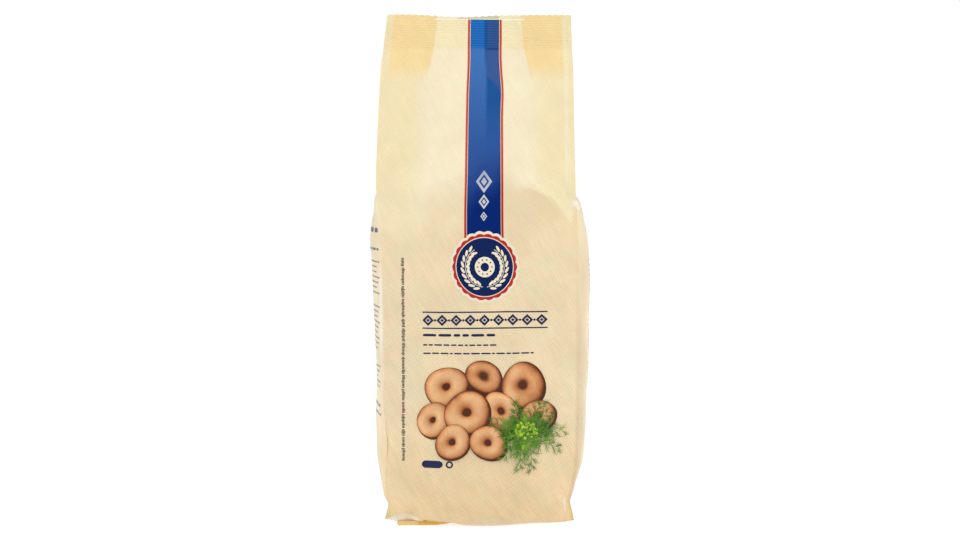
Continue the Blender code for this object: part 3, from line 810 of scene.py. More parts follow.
# Painted reflections of the table on the two foot lenses, each filling the lens under its arch.
for (centre, reach, height, _, share), lens_reflection in zip(FOOT_LENSES, LENS_REFLECTIONS):
    off = maths(tree, "DIVIDE", maths(tree, "SUBTRACT", u, centre), reach)
    arch = times(tree, maths(tree, "SUBTRACT", 1.0, times(tree, off, off)), height)
    inside = spread(tree, maths(tree, "SUBTRACT", arch, v), -0.0002, 0.0012)
    layers.append((times(tree, inside, share), lens_reflection))
layers += [(times(tree, oval(tree, u, v, place, size, slant), share), shine)
           for place, size, slant, share, shine in GLINTS]
colour = use(tree, over_filling, Over_air=AIR_CREAM, Over_biscuits=FULL_CREAM)
for mask, layer_colour in layers + [(pressed, PRESSED_HIGHLIGHT)]:
    colour = mixed(tree, mask, colour, layer_colour)
colour = mixed(tree, rim, colour, RIM_SHADE, "MULTIPLY")
tint = mixed(tree, spread(tree, grain(tree, u, v, 80.0), 0.35, 0.65), COOL_TINT, WARM_TINT)
colour = mixed(tree, spread(tree, point_value(tree, "fullness"), 0, 1, 0.45, 1), colour, tint, "MULTIPLY")
patchy = spread(tree, grain(tree, u, v, 60.0), 0.3, 0.7, 0.972, 1.022)
weave = use(tree, woven_print, Pitch=WEAVE_PITCH, Strength=spread(tree, v, 0.03, 0.20, 0.165, 0.080))
# Deeper where the film touches a biscuit, plus the painted shade under the edge of the fill.
contact_and_edge_shade = spread(tree, point_value(tree, "touch_and_edge_shade"), 0.45, 1.55, 1.025, 0.905)
colour = mixed(tree, 1.0, colour, times(tree, weave, patchy, contact_and_edge_shade), "MULTIPLY")
colour = mixed(tree, hairline, colour, HAIRLINE_PALE)
tree.links.new(colour, shader.inputs["Base Color"])
print(len(layers) + 2, "colours over the cream")

# %% Gloss of the film
rough = spread(tree, grain(tree, u, v, 220.0, 3.0), 0.3, 0.7, 0.32, 0.44)
tree.links.new(rough, shader.inputs["Roughness"])
dimples = grain(tree, u, v, 160.0)
ripple = node(tree, "ShaderNodeBump", {"Strength": 0.25, "Distance": 0.0004, "Height": dimples})
tree.links.new(ripple.outputs[0], shader.inputs["Normal"])
print(film_material.name, len(tree.nodes), "nodes")

# %% The bag
FOLD_ANGLE = math.radians(50)
count = len(columns)
sides = grid_quads(len(rows), count, closed=True)


def end_cap(row, upwards):
    """Strip between the front's and the back's points of one row, with the gussets in its end faces."""
    front = row * count + np.arange(PANEL_COLUMNS + 1)
    back = row * count + PANEL_COLUMNS + GUSSET_COLUMNS + np.arange(PANEL_COLUMNS, -1, -1)
    quads = np.stack([front[:-1], front[1:], back[1:], back[:-1]], axis=-1).tolist()
    right = np.arange(front[-1], back[-1] + 1)
    left = np.append(np.arange(back[0], (row + 1) * count), front[0])
    polygons = quads + [right.tolist(), left.tolist()]
    return polygons if upwards else [polygon[::-1] for polygon in polygons]


polygons = sides.tolist() + end_cap(0, False) + end_cap(len(rows) - 1, True)
cap_corners = corners_of(polygons[len(sides):])
side_u = np.where((sides % count == 0) & np.isin(np.arange(4), (1, 2)), AROUND, columns[sides % count])
corner_u = np.append(side_u.ravel(), columns[cap_corners % count])
corner_v = rows[np.append(sides.ravel(), cap_corners) // count]
bag = mesh_piece("film_bag", grid_points, polygons, np.stack([corner_u, corner_v], axis=-1), film_material,
                 {"fullness": fullness(grid_u, grid_v), "touch_and_edge_shade": touch_and_edge_shade(grid_u, grid_v)})
bag.data.set_sharp_from_angle(angle=FOLD_ANGLE)
print(len(bag.data.polygons), "faces in the bag")

# %% [markdown]
# ## The back seam
#
# The web is closed to a tube by one weld down the back: a fin of two layers, ribbed by the jaws
# and folded flat to one side. Its free edge stands a little off the film. It is a thin slab whose
# closed profile is carried up the back in film coordinates, from the base to the cut edge.

# %% Fin seam
SEAM_U, FIN_WIDTH, FIN_TOP, RIB_PITCH, RIB_HEIGHT = 0.2158, 0.0110, HEIGHT - 0.0006, 0.0022, 0.00007
fin_profile = np.array([(-0.50, -0.00010), (-0.50, 0.00015), (-0.42, 0.00042), (-0.10, 0.00048),
                        (0.20, 0.00052), (0.46, 0.00062), (0.50, 0.00056), (0.50, 0.00030),
                        (0.20, 0.00010), (-0.20, -0.00008)])[::-1]
fin_rows = evenly((0.0016, 0.020, 24), (0.020, 0.215, 260), (0.215, SEAL_BOTTOM, 68),
                  (SEAL_BOTTOM, FIN_TOP, 60))
fin_v = fin_rows[:, None] + 0 * fin_profile[:, 0]
fin_u = SEAM_U + fin_profile[:, 0] * FIN_WIDTH + 0 * fin_v
flatten = 1 - 0.55 * ease(SEAL_BOTTOM - 0.004, SEAL_BOTTOM + 0.001, fin_v)
ribs = RIB_HEIGHT * np.sin(math.tau * fin_v / RIB_PITCH) * (fin_profile[:, 1] > 0.0003)
fin_points = on_film(fin_u, fin_v, (fin_profile[:, 1] + ribs) * flatten)
wide = len(fin_profile)
fin_faces = grid_quads(len(fin_rows), wide, closed=True).tolist()
fin_faces += [list(range(wide))[::-1], list(range(fin_u.size - wide, fin_u.size))]
fin_uv = np.stack([fin_u, fin_v], axis=-1).reshape(-1, 2)[corners_of(fin_faces)]
mesh_piece("fin_seam", fin_points, fin_faces, fin_uv, film_material,
           {"fullness": 0 * fin_u, "touch_and_edge_shade": 0 * fin_u})
print("the seam stands", round(1000 * fin_profile[:, 1].max(), 2), "mm off the film")

# %% [markdown]
# ## The folded bottom weld
#
# The tube's lower end is welded too, then folded forwards and flat under the base. Its strip is
# four layers thick, so it is deeper in colour, and its front end stands up as a small lip where
# the bag's foot doesn't reach the table. The strip's path walks forwards in small steps and turns
# up in its last ones; its thickness is added square to the path, and the slab is closed all round.

# %% Bottom weld
FLAP_ENDS, FLAP_START, FLAP_LENGTH, FLAP_SHEET = (-0.0468, 0.0485), -0.0010, 0.0120, 0.00035
LIP_LENGTH, LIP_ANGLE, FLAP_RIBS, FLAP_RIB_HEIGHT = 0.0080, 1.45, 12, 0.00006
FLAP_COLUMNS, FLAP_STEPS, FLAP_V = 120, 29, -0.03
LIP_ORANGE, WELD_ORANGE = (0.83, 0.58, 0.20, 1), (0.76, 0.42, 0.050, 1)
flap_x, flap_share = np.meshgrid(np.linspace(*FLAP_ENDS, FLAP_COLUMNS), np.linspace(0, 1, FLAP_STEPS + 1))
in_lip = ease(-0.0480, -0.0462, flap_x) * (1 - ease(-0.026, -0.012, flap_x))
turn = LIP_ANGLE * in_lip * ease(0.86, 0.93, flap_share)
stride = (FLAP_LENGTH + LIP_LENGTH * in_lip) / FLAP_STEPS
walk_y = FLAP_START - np.cumsum(np.cos(turn) * stride, axis=0) + stride
walk_z = np.cumsum(np.sin(turn) * stride, axis=0)
thick = FLAP_SHEET + FLAP_RIB_HEIGHT * np.sin(flap_share * math.tau * FLAP_RIBS)
under = np.stack([flap_x, walk_y, walk_z], axis=-1)
over = under + np.stack([0 * turn, np.sin(turn), np.cos(turn)], axis=-1) * thick[..., None]
loop = np.concatenate([under, over[::-1]])
high, wide = loop.shape[:2]
first, last = np.arange(wide), (high - 1) * wide + np.arange(wide)
flap_faces = grid_quads(high, wide).tolist()
flap_faces += np.stack([last[:-1], last[1:], first[1:], first[:-1]], axis=-1).tolist()
flap_faces += [[row * wide for row in range(high)][::-1], [row * wide + wide - 1 for row in range(high)]]
flap_uv = np.stack([PANEL / 2 + loop[..., 0], FLAP_V + loop[..., 1]], axis=-1).reshape(-1, 2)
flap_material, tree, shader = plain_shader("bottom_weld", Roughness=0.40)
weave = use(tree, woven_print, Pitch=WEAVE_PITCH, Strength=0.12)
u, v = film_uv(tree)
layered = mixed(tree, spread(tree, u, 0.0185, 0.0200), LIP_ORANGE, WELD_ORANGE)
tree.links.new(mixed(tree, 1.0, layered, weave, "MULTIPLY"), shader.inputs["Base Color"])
mesh_piece("bottom_weld", loop, flap_faces, flap_uv[corners_of(flap_faces)], flap_material, {})
print("weld strip", np.round(1000 * np.ptp(loop.reshape(-1, 3), axis=0), 1).tolist(), "mm")

# %% [markdown]
# ## Printing on a curved film
#
# A flat picture can't be laid on the bag from the front, because the film bends away from it. So
# each colour of ink is a thin mesh of its own: a shape is drawn in film coordinates, as the
# printer drew it on the flat web, and the film's own surface carries it to its place. Each ink
# stands a few hundredths of a millimetre over the one below it, so that none shows through.

# %% Patches of ink
LAYER = 0.00003
INK_LIFT = 2 * LAYER


def ink_piece(name, patches, material):
    """Joins patches, each u, v and lift as stacks of grids and maybe closed, into one printed mesh."""
    points, places, polygons, marks, start = [], [], [], {}, 0
    for patch in patches:
        u, v, lift = np.broadcast_arrays(patch["u"], patch["v"], patch["lift"])
        stack, high, wide = u.shape
        block = (start + np.arange(stack) * high * wide)[:, None]
        cells = grid_quads(high, wide, patch.get("closed", False)) + block[..., None]
        polygons += cells.reshape(-1, 4).tolist()
        if patch.get("filled", False):
            polygons += (np.arange(wide)[::-1] + block).tolist()
        points.append(on_film(u, v, lift).reshape(-1, 3))
        places.append(np.stack([u.ravel(), v.ravel()], axis=-1))
        for mark, values in patch.get("marks", {}).items():
            marks.setdefault(mark, []).append(np.broadcast_to(values, u.shape).ravel())
        start += u.size
    flat = np.concatenate(places)
    values = {"fullness": fullness(flat[:, 0], flat[:, 1])}
    values.update({mark: np.concatenate(parts) for mark, parts in marks.items()})
    mesh_piece(name, np.concatenate(points), polygons, flat[corners_of(polygons)], material, values)
    print(name, len(polygons), "faces")


def strip(left, right, heights, cells):
    """A patch between two edges, each with one place for every height."""
    across = (left[:, None] + (right - left)[:, None] * np.linspace(0, 1, cells + 1))[None]
    return {"u": across, "v": np.broadcast_to(heights[:, None], across.shape), "lift": INK_LIFT}


def disc(u, v, radius, lift, outline=None, squash=1.0, turn=0.0, hole=0.0, rings=4, spokes=32, marks=None):
    """Circles about stacked centres: radius × outline(angle), squashed, then turned; a hole if wanted."""
    u, v, radius, squash, turn, lift = (np.atleast_1d(np.asarray(value, float))[:, None, None]
                                        for value in (u, v, radius, squash, turn, lift))
    angle = -np.arange(spokes) / spokes * math.tau
    share = np.linspace(max(hole, 0.04), 1, rings + 1)[None, :, None]
    size = radius * share * (outline(angle) if outline else 1.0)
    x, y = size * np.cos(angle), size * squash * np.sin(angle)
    patch = {"u": u + x * np.cos(turn) - y * np.sin(turn), "v": v + x * np.sin(turn) + y * np.cos(turn),
             "lift": lift, "closed": True, "filled": hole == 0}
    if marks:
        patch["marks"] = marks(share, angle)
    return patch


def bars(boxes, upright=False):
    """Rounded bars from rows of start, end, middle line and thickness; upright ones run along v."""
    start, end, line, thick = (column[:, None, None] for column in np.asarray(boxes, float).T)
    cells = int(max(8, np.ceil((end - start).max() / 0.0016)))
    share = 0.5 - 0.5 * np.cos(np.linspace(0, math.pi, cells + 1))
    along = start + (end - start) * share[None, None, :]
    inside = np.clip(np.minimum(along - start, end - along) / (thick / 2), 0, 1)
    half = thick / 2 * np.sqrt(np.clip(1 - (1 - inside) ** 2, 0.02, 1))
    across = line + half * np.array([-1.0, 0.0, 1.0])[None, :, None]
    along = np.broadcast_to(along, across.shape)
    u, v = (across[:, ::-1], along) if upright else (along, across)
    return {"u": u, "v": v, "lift": INK_LIFT}


print("a patch of two bars:", bars([(0, 0.01, 0, 0.001), (0.02, 0.03, 0, 0.001)])["u"].shape)

# %% [markdown]
# ## The band down the top
#
# A blue band hangs from the cut edge to the badge, with a red line along each side and a hair of
# cream between them. Over the empty top the light from behind makes the blue brighter, and over
# the biscuits it is nearly navy, so the ink has one colour for each. Behind its right part runs
# the back seam, whose extra layers show through as a greyer stripe in the weld.

# %% Band shape
BAND_U, BAND_END = 0.0583, HEIGHT - 0.0027
BAND_HALF = ((0.150, 0.0111), (0.165, 0.0110), (0.210, 0.0107), (0.240, 0.0104), (0.262, 0.0099),
             (HEIGHT, 0.0097))
band_rows = evenly((0.160, 0.215, 60), (0.215, SEAL_BOTTOM, 34), (SEAL_BOTTOM, BAND_END, 62))
band_rows = np.append(band_rows, BAND_END)
half = through(BAND_HALF, band_rows)
bulge = sum(size * np.exp(-(((band_rows - level) / reach) ** 2))
            for size, level, reach in ((0.00055, 0.2415, 0.009), (-0.00025, 0.260, 0.008)))
print("the band narrows from", round(2000 * half[0], 1), "to", round(2000 * half[-1], 1), "mm")

# %% Inks of the band


def plain_ink(name, over_air, over_biscuits, amount=0.06):
    """An ink with one colour over the empty top, one over the biscuits, and slight unevenness."""
    material, tree, shader = plain_shader(name, Roughness=0.32, Specular_IOR_Level=0.12)
    colour = use(tree, over_filling, Over_air=over_air, Over_biscuits=over_biscuits)
    tree.links.new(use(tree, uneven_ink, Colour=colour, Amount=amount), shader.inputs["Base Color"])
    return material


SEAM_EDGE_U = 0.0593
BAND_BLUES = ((0.0, (0.026, 0.082, 0.29)), (0.5, (0.045, 0.140, 0.40)), (0.755, (0.052, 0.165, 0.45)),
              (0.775, (0.019, 0.155, 0.50)), (1.0, (0.016, 0.160, 0.52)))
BAND_NAVY, RIDGE_SHADE = (0.0010, 0.018, 0.150, 1), (0.30, 0.42, 0.50, 1)
SEAM_BLUE, SEAM_GREY = (0.003, 0.068, 0.260, 1), (0.038, 0.080, 0.242, 1)
SEAM_LINE, SEAM_END = (0.002, 0.050, 0.22, 1), (0.008, 0.030, 0.12, 1)
blue_ink, tree, shader = plain_shader("blue_ink", Roughness=0.28, Specular_IOR_Level=0.05)
u, v = film_uv(tree)
over_air = ramped(tree, spread(tree, v, 0.205, HEIGHT), BAND_BLUES)
colour = use(tree, over_filling, Over_air=over_air, Over_biscuits=BAND_NAVY)
behind_seam = times(tree, spread(tree, u, 0.0584, 0.0602), spread(tree, v, 0.206, 0.236))
slope = maths(tree, "ADD", v, times(tree, maths(tree, "SUBTRACT", u, SEAM_EDGE_U), 0.9))
seam_colour = mixed(tree, spread(tree, slope, 0.2500, 0.2518), SEAM_BLUE, SEAM_GREY)
colour = mixed(tree, times(tree, behind_seam, 0.80), colour, seam_colour)
seam_line = times(tree, near(tree, u, SEAM_EDGE_U - 0.0004, 0.0013, 0.0005),
                  spread(tree, v, 0.250, SEAL_BOTTOM), 0.55)
colour = mixed(tree, seam_line, colour, SEAM_LINE)
ridge = maths(tree, "SINE", times(tree, maths(tree, "SUBTRACT", v, SEAL_BOTTOM), math.tau / CRIMP_PITCH))
ridge = times(tree, spread(tree, ridge, -1, 1, 0, 0.45, True),
              spread(tree, v, SEAL_BOTTOM, SEAL_BOTTOM + 0.001))
colour = mixed(tree, ridge, colour, RIDGE_SHADE, "MULTIPLY")
seam_end = times(tree, near(tree, v, SEAL_BOTTOM, 0.0010, 0.0003), behind_seam, 0.6)
colour = mixed(tree, seam_end, colour, SEAM_END)
tree.links.new(use(tree, uneven_ink, Colour=colour, Amount=0.10), shader.inputs["Base Color"])
red_ink = plain_ink("red_ink", (0.60, 0.060, 0.034, 1), (0.47, 0.024, 0.020, 1))
cream_ink = plain_ink("cream_ink", (0.90, 0.82, 0.64, 1), (0.84, 0.74, 0.56, 1), 0.03)
print("inks", blue_ink.name, red_ink.name, cream_ink.name)

# %% Band pieces
LINE_WIDTH, BLUE_INSET, BLUE_CELLS = 0.00118, 0.0015, 18
left_edge, right_edge = BAND_U - half, BAND_U + half + bulge
blue = strip(left_edge + BLUE_INSET, right_edge - BLUE_INSET, band_rows, BLUE_CELLS)
ink_piece("blue_band", [blue], blue_ink)
ink_piece("red_lines", [strip(left_edge, left_edge + LINE_WIDTH, band_rows, 1),
                        strip(right_edge - LINE_WIDTH, right_edge, band_rows, 1)], red_ink)

# %% [markdown]
# ## The badge
#
# A plain rosette sits at the foot of the band: a scalloped cream edge, a red rim and a navy field
# with a wreath of wheat round one ring biscuit. A rosette is a circle whose radius swings with the
# angle. A grain of wheat is a squashed circle with a sharper tip.

# %% Rosette
BADGE_U, BADGE_V, BADGE_RADIUS, LOBES = BAND_U, 0.1460, 0.0180, 22


def scallops(angle):
    """Radius 1 with round lobes: the size of a cosine at half the lobe count."""
    return 0.965 + 0.045 * np.abs(np.cos(angle * LOBES / 2))


navy_ink = plain_ink("navy_ink", (0.012, 0.035, 0.16, 1), (0.0030, 0.0150, 0.088, 1), 0.10)
for name, share, layer, outline, rings, ink in (("badge_edge", 1.085, 3, scallops, 16, cream_ink),
                                                ("badge_rim", 1.0, 4, scallops, 16, red_ink),
                                                ("badge_line", 0.905, 5, None, 15, cream_ink),
                                                ("badge_field", 0.880, 6, None, 15, navy_ink)):
    ink_piece(name, [disc(BADGE_U, BADGE_V, BADGE_RADIUS * share, layer * LAYER, outline, rings=rings,
                          spokes=LOBES * 8)], ink)

# %% Wreath and ring


def pointed(angle):
    """A grain's outline: 0.82, plus 0.18 times the cube of the cosine's size."""
    return 0.82 + 0.18 * np.abs(np.cos(angle)) ** 3


STALK_RADIUS, STALK_HALF, STALK_LIFT, GRAIN_LENGTH = 0.0109, 0.00016, 0.00020, 0.00190
SEEDS, SEED_CIRCLE, SEED_RADIUS = 10, 0.0040, 0.00042
arc = np.linspace(math.radians(-68), math.radians(52), 9)
grains = []
for side in (-1, 1):
    for outer, lean in ((0.0125, -0.42), (0.0094, 0.42)):
        grains.append((BADGE_U + side * outer * np.cos(arc), BADGE_V + outer * np.sin(arc),
                       np.where(side > 0, arc + math.pi / 2 + lean, math.pi / 2 - arc - lean)))
grain_u, grain_v, grain_turn = (np.concatenate(part) for part in zip(*grains))
wreath = [disc(grain_u, grain_v, GRAIN_LENGTH, 7 * LAYER, pointed, 0.46, grain_turn, rings=2, spokes=14)]
stalk = np.linspace(math.radians(-84), math.radians(60), 25)
for side in (-1, 1):
    outwards = np.stack([side * np.cos(stalk), np.sin(stalk)])
    middle = np.array([[BADGE_U], [BADGE_V]]) + STALK_RADIUS * outwards
    edge = side * STALK_HALF * outwards
    edges = np.stack([middle + edge, middle - edge], axis=1)
    wreath.append({"u": edges[:1], "v": edges[1:], "lift": STALK_LIFT})
wreath.append(disc(BADGE_U, BADGE_V, 0.0056, 7 * LAYER, hole=0.42, rings=5, spokes=48))
dots = np.arange(SEEDS) / SEEDS * math.tau
seeds = disc(BADGE_U + SEED_CIRCLE * np.cos(dots), BADGE_V + SEED_CIRCLE * np.sin(dots), SEED_RADIUS,
             8 * LAYER, rings=1, spokes=8)
ink_piece("badge_wreath", wreath, cream_ink)
ink_piece("badge_seeds", [seeds], navy_ink)

# %% Lozenges in the band


def lozenge(angle):
    """A square on its corner: 1 over the sum of the cosine's and the sine's size."""
    return 1 / (np.abs(np.cos(angle)) + np.abs(np.sin(angle)))


LOZENGE_LIFT, LOZENGE_SQUASH = 0.00010, 1.35
level, frame_size, heart_size = np.transpose([(0.1925, 0.0046, 0.0018), (0.1815, 0.0030, 0.0011),
                                              (0.1735, 0.0019, 0.0007)])
pale_ink = plain_ink("pale_ink", (0.24, 0.30, 0.50, 1), (0.60, 0.60, 0.58, 1))
frames = disc(BAND_U, level, frame_size, LOZENGE_LIFT, lozenge, LOZENGE_SQUASH, hole=0.62, rings=2)
hearts = disc(BAND_U, level, heart_size, LOZENGE_LIFT, lozenge, LOZENGE_SQUASH, rings=2, spokes=16)
ink_piece("band_lozenges", [frames, hearts], pale_ink)

# %% [markdown]
# ## Rows of bars
#
# A border of lozenges runs under the badge. Rows of small bars and strokes fill the front, the
# sides and the back in the rhythm of printed lines. The lengths are drawn from a seeded
# generator, so that each run prints the same bars.

# %% Bars and strokes
draw_words = np.random.default_rng(23)
STROKE, STROKE_STEP, STROKE_GAP = 0.00056, 0.00080, 0.00055


def word_row(start, end, line, size):
    """Bars of random lengths, 2 to 7 times as long as thick, with gaps, from start to end."""
    boxes, at = [], start
    while at < end - 1.5 * size:
        length = min(draw_words.uniform(2.0, 7.0) * size, end - at)
        boxes.append((at, at + length, line, size))
        at += length + 0.9 * size
    return boxes


def stroke_words(start, end, line, tall):
    """Short strokes across a line that runs up the film, in groups of 5 to 13 with a gap after each."""
    boxes, at, draw = [], start, np.random.default_rng(31)
    while at < end:
        for _ in range(draw.integers(5, 14)):
            left, right = draw.choice([0, 0, 0, 0.30], 2) * tall
            boxes.append((line - tall / 2 - left, line + tall / 2 + right, at, STROKE))
            at += STROKE_STEP
        at += STROKE_GAP
    return [box for box in boxes if box[2] < end]


print(len(stroke_words(0.0390, 0.1508, 0.0117, 0.0015)), "strokes along the left edge")

# %% Bars of the front, the sides and the back
SIDE_STEP, BACK_STEP, CHART_STEP, CHART_ROWS = 0.0029, 0.0050, 0.0062, 9
front_words = word_row(0.0232, 0.0640, 0.1088, 0.0014)
front_words += word_row(0.0234, 0.0660, 0.1034, 0.0008) + word_row(0.0234, 0.0855, 0.0988, 0.0008)
side_words = []
for start, end in ((0.2855, 0.3335), (0.1290, 0.1530)):
    side_words += word_row(start + 0.006, end, 0.1655, 0.0026) + word_row(start + 0.012, end, 0.1550, 0.0013)
    for block, count in ((0.1480, 7), (0.1230, 9), (0.0900, 5)):
        for row in range(count):
            side_words += word_row(start, end - 0.003 * (row % 3), block - SIDE_STEP * row, 0.0008)
    side_words += word_row(start + 0.010, end, 0.0680, 0.0014) + word_row(start + 0.014, end, 0.0630, 0.0011)
back_words = []
for row in range(14):
    back_words += word_row(0.1765, 0.2070 - 0.004 * (row % 4 == 3), 0.1330 - BACK_STEP * row, 0.0010)
for row in range(CHART_ROWS):
    for start, end in ((0.2290, 0.2460), (0.2560, 0.2690)):
        back_words += word_row(start, end, 0.1215 - CHART_STEP * row, 0.0010)
back_words += word_row(0.1800, 0.2070, 0.1520, 0.0024) + word_row(0.2280, 0.2660, 0.1520, 0.0024)
print(len(front_words) + len(side_words) + len(back_words), "bars")

# %% Inks, border and chart
BORDER_V, CHART_TOP, LINE = 0.1170, 0.1252, 0.0003
word_ink = plain_ink("word_ink", (0.03, 0.04, 0.11, 1), (0.018, 0.024, 0.085, 1))
edge_ink = plain_ink("edge_word_ink", (0.110, 0.082, 0.090, 1), (0.092, 0.066, 0.074, 1))
faint_ink = plain_ink("faint_word_ink", (0.16, 0.16, 0.22, 1), (0.13, 0.125, 0.17, 1))
border_u = np.linspace(0.0262, 0.0898, 9)
between_u = (border_u[1:] + border_u[:-1]) / 2
border = [disc(border_u, BORDER_V, 0.0033, INK_LIFT, lozenge, 0.95, hole=0.50, rings=2, spokes=24),
          disc(border_u, BORDER_V, 0.0010, INK_LIFT, lozenge, 0.95, rings=1, spokes=12),
          disc(between_u, BORDER_V, 0.00065, INK_LIFT, rings=1, spokes=12),
          bars([(0.0229, 0.0931, 0.1214, 0.0007), (0.0229, 0.0931, 0.1126, 0.0007)])]
plaque = [bars([(0.0225, 0.0345, 0.0372, 0.0042)]),
          disc(0.0383, 0.0372, 0.0021, INK_LIFT, hole=0.55, rings=2, spokes=24)]
ink_piece("front_words", [bars(front_words)] + border + plaque, word_ink)
ink_piece("edge_words", [bars(stroke_words(0.0390, 0.1508, 0.0117, 0.0015))], edge_ink)
ink_piece("side_words", [bars(side_words)], faint_ink)
chart_lines = [(0.2265, 0.2715, CHART_TOP - CHART_STEP * row, LINE) for row in range(CHART_ROWS + 1)]
chart_sides = [(CHART_TOP - CHART_STEP * CHART_ROWS, CHART_TOP, u, LINE) for u in (0.2265, 0.2525, 0.2715)]
ink_piece("back_words", [bars(back_words), bars(chart_lines), bars(chart_sides, upright=True)], word_ink)

# %% [markdown]
# ## The printed biscuits
#
# The picture on the front shows the filling: ring biscuits in a loose heap, tan on the crown of
# each ring, browned in patches and at its edges, with dark gaps between them. Each ring is a flat
# annulus that keeps two numbers per point, how near the crown it is and how it faces the picture's
# light from the upper left. The material turns them into baked colours, as a painter would.

# %% Rings and gaps
HOLE, RING_STEP, HEAP_LIFT, LIGHT_FROM = 0.17, 0.00007, 0.00007, math.radians(125)
# Each ring: its middle, its radius, the phase of its outline, its squash and its turn.
ring_table = ((0.0365, 0.0805, 0.0120, 0.3, 0.92, 0.4), (0.0575, 0.0860, 0.0106, 1.9, 0.80, -0.3),
              (0.0795, 0.0812, 0.0126, 4.0, 0.94, 0.9), (0.0290, 0.0622, 0.0106, 2.6, 0.80, 1.2),
              (0.0672, 0.0668, 0.0112, 0.9, 0.86, -0.7), (0.0482, 0.0662, 0.0126, 5.2, 0.95, 0.0),
              (0.0880, 0.0640, 0.0098, 3.1, 0.86, 0.3), (0.0400, 0.0500, 0.0102, 4.6, 0.88, 0.5),
              (0.0600, 0.0495, 0.0108, 2.2, 0.84, -0.2))


def baked_outline(phase):
    """A circle with a small two-sided and a small three-sided swing, as hand-rolled rings have."""
    return lambda angle: 1 + 0.045 * np.cos(2 * angle + phase) + 0.025 * np.cos(3 * angle - 2 * phase)


def ring_marks(bake):
    """Crown: a half sine from hole to rim, to the power 0.6. Facing: a cosine to the upper left."""
    def marks(share, angle):
        ride = np.clip((share - HOLE) / (1 - HOLE), 0, 1)
        facing = (2 * ride - 1) * np.cos(angle - LIGHT_FROM)
        return {"crown": np.sin(math.pi * ride) ** 0.6 + bake + 0 * angle, "facing": facing}
    return marks


rings, gaps = [], [disc(0.0575, 0.0665, 0.0250, HEAP_LIFT, baked_outline(1.0), 0.78, rings=16, spokes=96)]
for order, (u, v, radius, phase, squash, turn) in enumerate(ring_table):
    lift = 4 * LAYER + RING_STEP * order
    form = {"outline": baked_outline(phase), "squash": squash, "turn": turn, "rings": 12, "spokes": 64}
    marks = ring_marks(0.16 * math.sin(3 * phase))
    rings.append(disc(u, v, radius, lift + RING_STEP / 2, hole=HOLE, marks=marks, **form))
    gaps.append(disc(u + 0.0006, v - 0.0008, radius * 1.03, lift, **form))
print(len(rings), "rings")

# %% Baked colours
BAKED_BROWNS = ((0.02, (0.16, 0.048, 0.018)), (0.22, (0.38, 0.130, 0.042)), (0.46, (0.62, 0.270, 0.098)),
                (0.76, (0.80, 0.430, 0.195)), (1.0, (0.90, 0.570, 0.310)))
SHADE_SIDE, LIGHT_SIDE = (0.56, 0.38, 0.26, 1), (1.12, 1.10, 1.06, 1)
baked, tree, shader = plain_shader("baked_picture", Roughness=0.36, Specular_IOR_Level=0.25)
u, v = film_uv(tree)
toast = spread(tree, grain(tree, u, v, 75.0, 4.0), 0.30, 0.70, -0.42, 0.20)
browned = ramped(tree, maths(tree, "ADD", point_value(tree, "crown"), toast), BAKED_BROWNS)
lit = mixed(tree, spread(tree, point_value(tree, "facing"), -0.9, 0.9), SHADE_SIDE, LIGHT_SIDE)
colour = mixed(tree, 1.0, browned, lit, "MULTIPLY")
crumb = spread(tree, grain(tree, u, v, 1500.0), 0.35, 0.65, 0.93, 1.06)
tree.links.new(mixed(tree, 1.0, colour, crumb, "MULTIPLY"), shader.inputs["Base Color"])
gap_ink = plain_ink("gap_ink", (0.10, 0.032, 0.016, 1), (0.085, 0.026, 0.013, 1), 0.2)
ink_piece("picture_gaps", gaps, gap_ink)
ink_piece("picture_rings", rings, baked)

# %% [markdown]
# ## The printed herb
#
# Beside the rings lies a sprig of feathery herb. Modelling it leaf by leaf is quick when every
# leaflet is the same tapered ribbon: stems fan out from one point, side shoots leave each stem by
# turns, and hair-fine leaflets leave each shoot. All ribbons of one kind are one stack of arrays.

# %% Sprig
SPRIG_ROOT, STEM_WIDTH, SHOOT_WIDTH = (0.0815, 0.0545), 0.00055, 0.00034
draw_herb = np.random.default_rng(5)


def ribbons(start, angle, length, width, bend, lift, cells):
    """Tapered ribbons: each centre line turns by bend from root to tip, and its width falls to a tenth."""
    share = np.linspace(0, 1, cells + 1)
    heading = angle[:, None] + bend[:, None] * share
    step = (length / cells)[:, None]
    x = start[0][:, None] + np.cumsum(np.cos(heading) * step, axis=1) - np.cos(heading) * step
    y = start[1][:, None] + np.cumsum(np.sin(heading) * step, axis=1) - np.sin(heading) * step
    half = width / 2 * (1 - 0.9 * share)
    side = np.stack([np.sin(heading), -np.cos(heading)]) * half
    patch = {"u": np.stack([x + side[0], x - side[0]], axis=1), "lift": lift,
             "v": np.stack([y + side[1], y - side[1]], axis=1)}
    return patch, np.stack([x, y]), heading


def side_shoots(path, heading, tone, every, lean, spread_by):
    """Root points, angles and tones of shoots that leave each path by turns, right and left."""
    at = np.arange(2, path.shape[2], every)
    turn = np.where(np.arange(len(at)) % 2 == 0, lean, -lean)
    angle = (heading[:, at] + turn).ravel()
    tones = np.repeat(tone, len(at)) + draw_herb.normal(0, 0.10, angle.size)
    return path[:, :, at].reshape(2, -1), angle + draw_herb.normal(0, spread_by, angle.size), tones, at


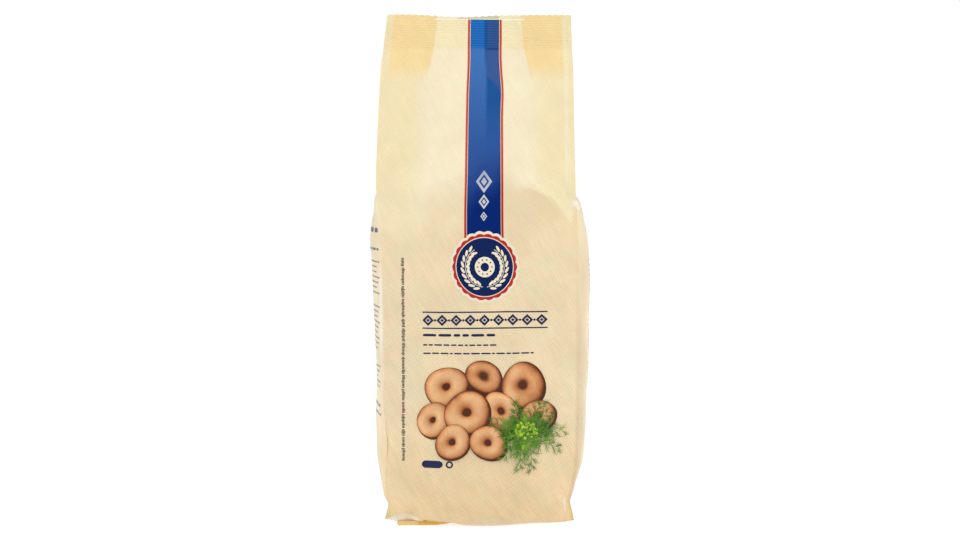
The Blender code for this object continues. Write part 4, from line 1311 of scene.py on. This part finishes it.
def frond(low, high, stems, size, tones, lift):
    """Stems fan out between two angles, shoots leave the stems, and leaflets leave the shoots."""
    angle = np.radians(np.linspace(low, high, stems)) + draw_herb.normal(0, 0.10, stems)
    root = np.array(SPRIG_ROOT)[:, None] * np.ones(stems)
    length, stem_tone = size * draw_herb.uniform(0.62, 1.12, stems), draw_herb.uniform(*tones, stems)
    bend = draw_herb.uniform(-0.6, 0.6, stems)
    stem, path, heading = ribbons(root, angle, length, STEM_WIDTH, bend, lift, 20)
    start, angle, shoot_tone, at = side_shoots(path, heading, stem_tone, 2, 0.75, 0.15)
    length = np.tile(0.42 * size * (1 - 0.034 * at), stems) * draw_herb.uniform(0.7, 1.2, angle.size)
    bend = draw_herb.uniform(-0.5, 0.5, angle.size)
    shoot, path, heading = ribbons(start, angle, length, SHOOT_WIDTH, bend, lift + LAYER, 8)
    start, angle, leaf_tone, at = side_shoots(path, heading, shoot_tone, 1, 0.62, 0.25)
    length, bend = draw_herb.uniform(0.0014, 0.0036, angle.size), draw_herb.uniform(-0.6, 0.6, angle.size)
    leaf, _, _ = ribbons(start, angle, length, SHOOT_WIDTH, bend, lift + 2 * LAYER, 3)
    for patch, tone in ((stem, stem_tone), (shoot, shoot_tone), (leaf, leaf_tone)):
        patch["marks"] = {"tip": np.clip(tone, 0, 1)[:, None, None]}
    return [stem, shoot, leaf]


herb = frond(5, 340, 15, 0.0190, (0.0, 0.55), 0.00085) + frond(20, 350, 9, 0.0120, (0.05, 0.60), 0.00097)

# %% Florets


def five_petals(angle):
    """A flower's outline: 0.72, plus 0.28 times the cosine of five times the angle."""
    return 0.72 + 0.28 * np.cos(5 * angle)


FLORETS, HEAD_RADIUS, FLORET_LIFT, FLORET_STEP = 64, 0.0062, 0.00109, 0.000004
floret_turn = draw_herb.uniform(0, math.tau, FLORETS)
floret_reach = HEAD_RADIUS * np.sqrt(draw_herb.uniform(0, 1, FLORETS))
floret_u = SPRIG_ROOT[0] + floret_reach * np.cos(floret_turn)
floret_v = SPRIG_ROOT[1] + 0.0015 + 0.8 * floret_reach * np.sin(floret_turn)
floret_lift = FLORET_LIFT + FLORET_STEP * np.arange(FLORETS)
florets = disc(floret_u, floret_v, draw_herb.uniform(0.0006, 0.0011, FLORETS), floret_lift, five_petals,
               turn=floret_turn, rings=1, spokes=20)
florets["marks"] = {"tip": draw_herb.uniform(0.45, 1.0, (FLORETS, 1, 1))}
herb.append(florets)
print(FLORETS, "florets")

# %% Green of the herb
HERB_GREENS = ((0.0, (0.020, 0.105, 0.006)), (0.50, (0.140, 0.330, 0.025)), (1.0, (0.50, 0.66, 0.040)))
herb_ink, tree, shader = plain_shader("herb_ink", Roughness=0.38, Specular_IOR_Level=0.25)
green = ramped(tree, point_value(tree, "tip"), HERB_GREENS)
tree.links.new(use(tree, uneven_ink, Colour=green, Amount=0.25), shader.inputs["Base Color"])
ink_piece("printed_herb", herb, herb_ink)
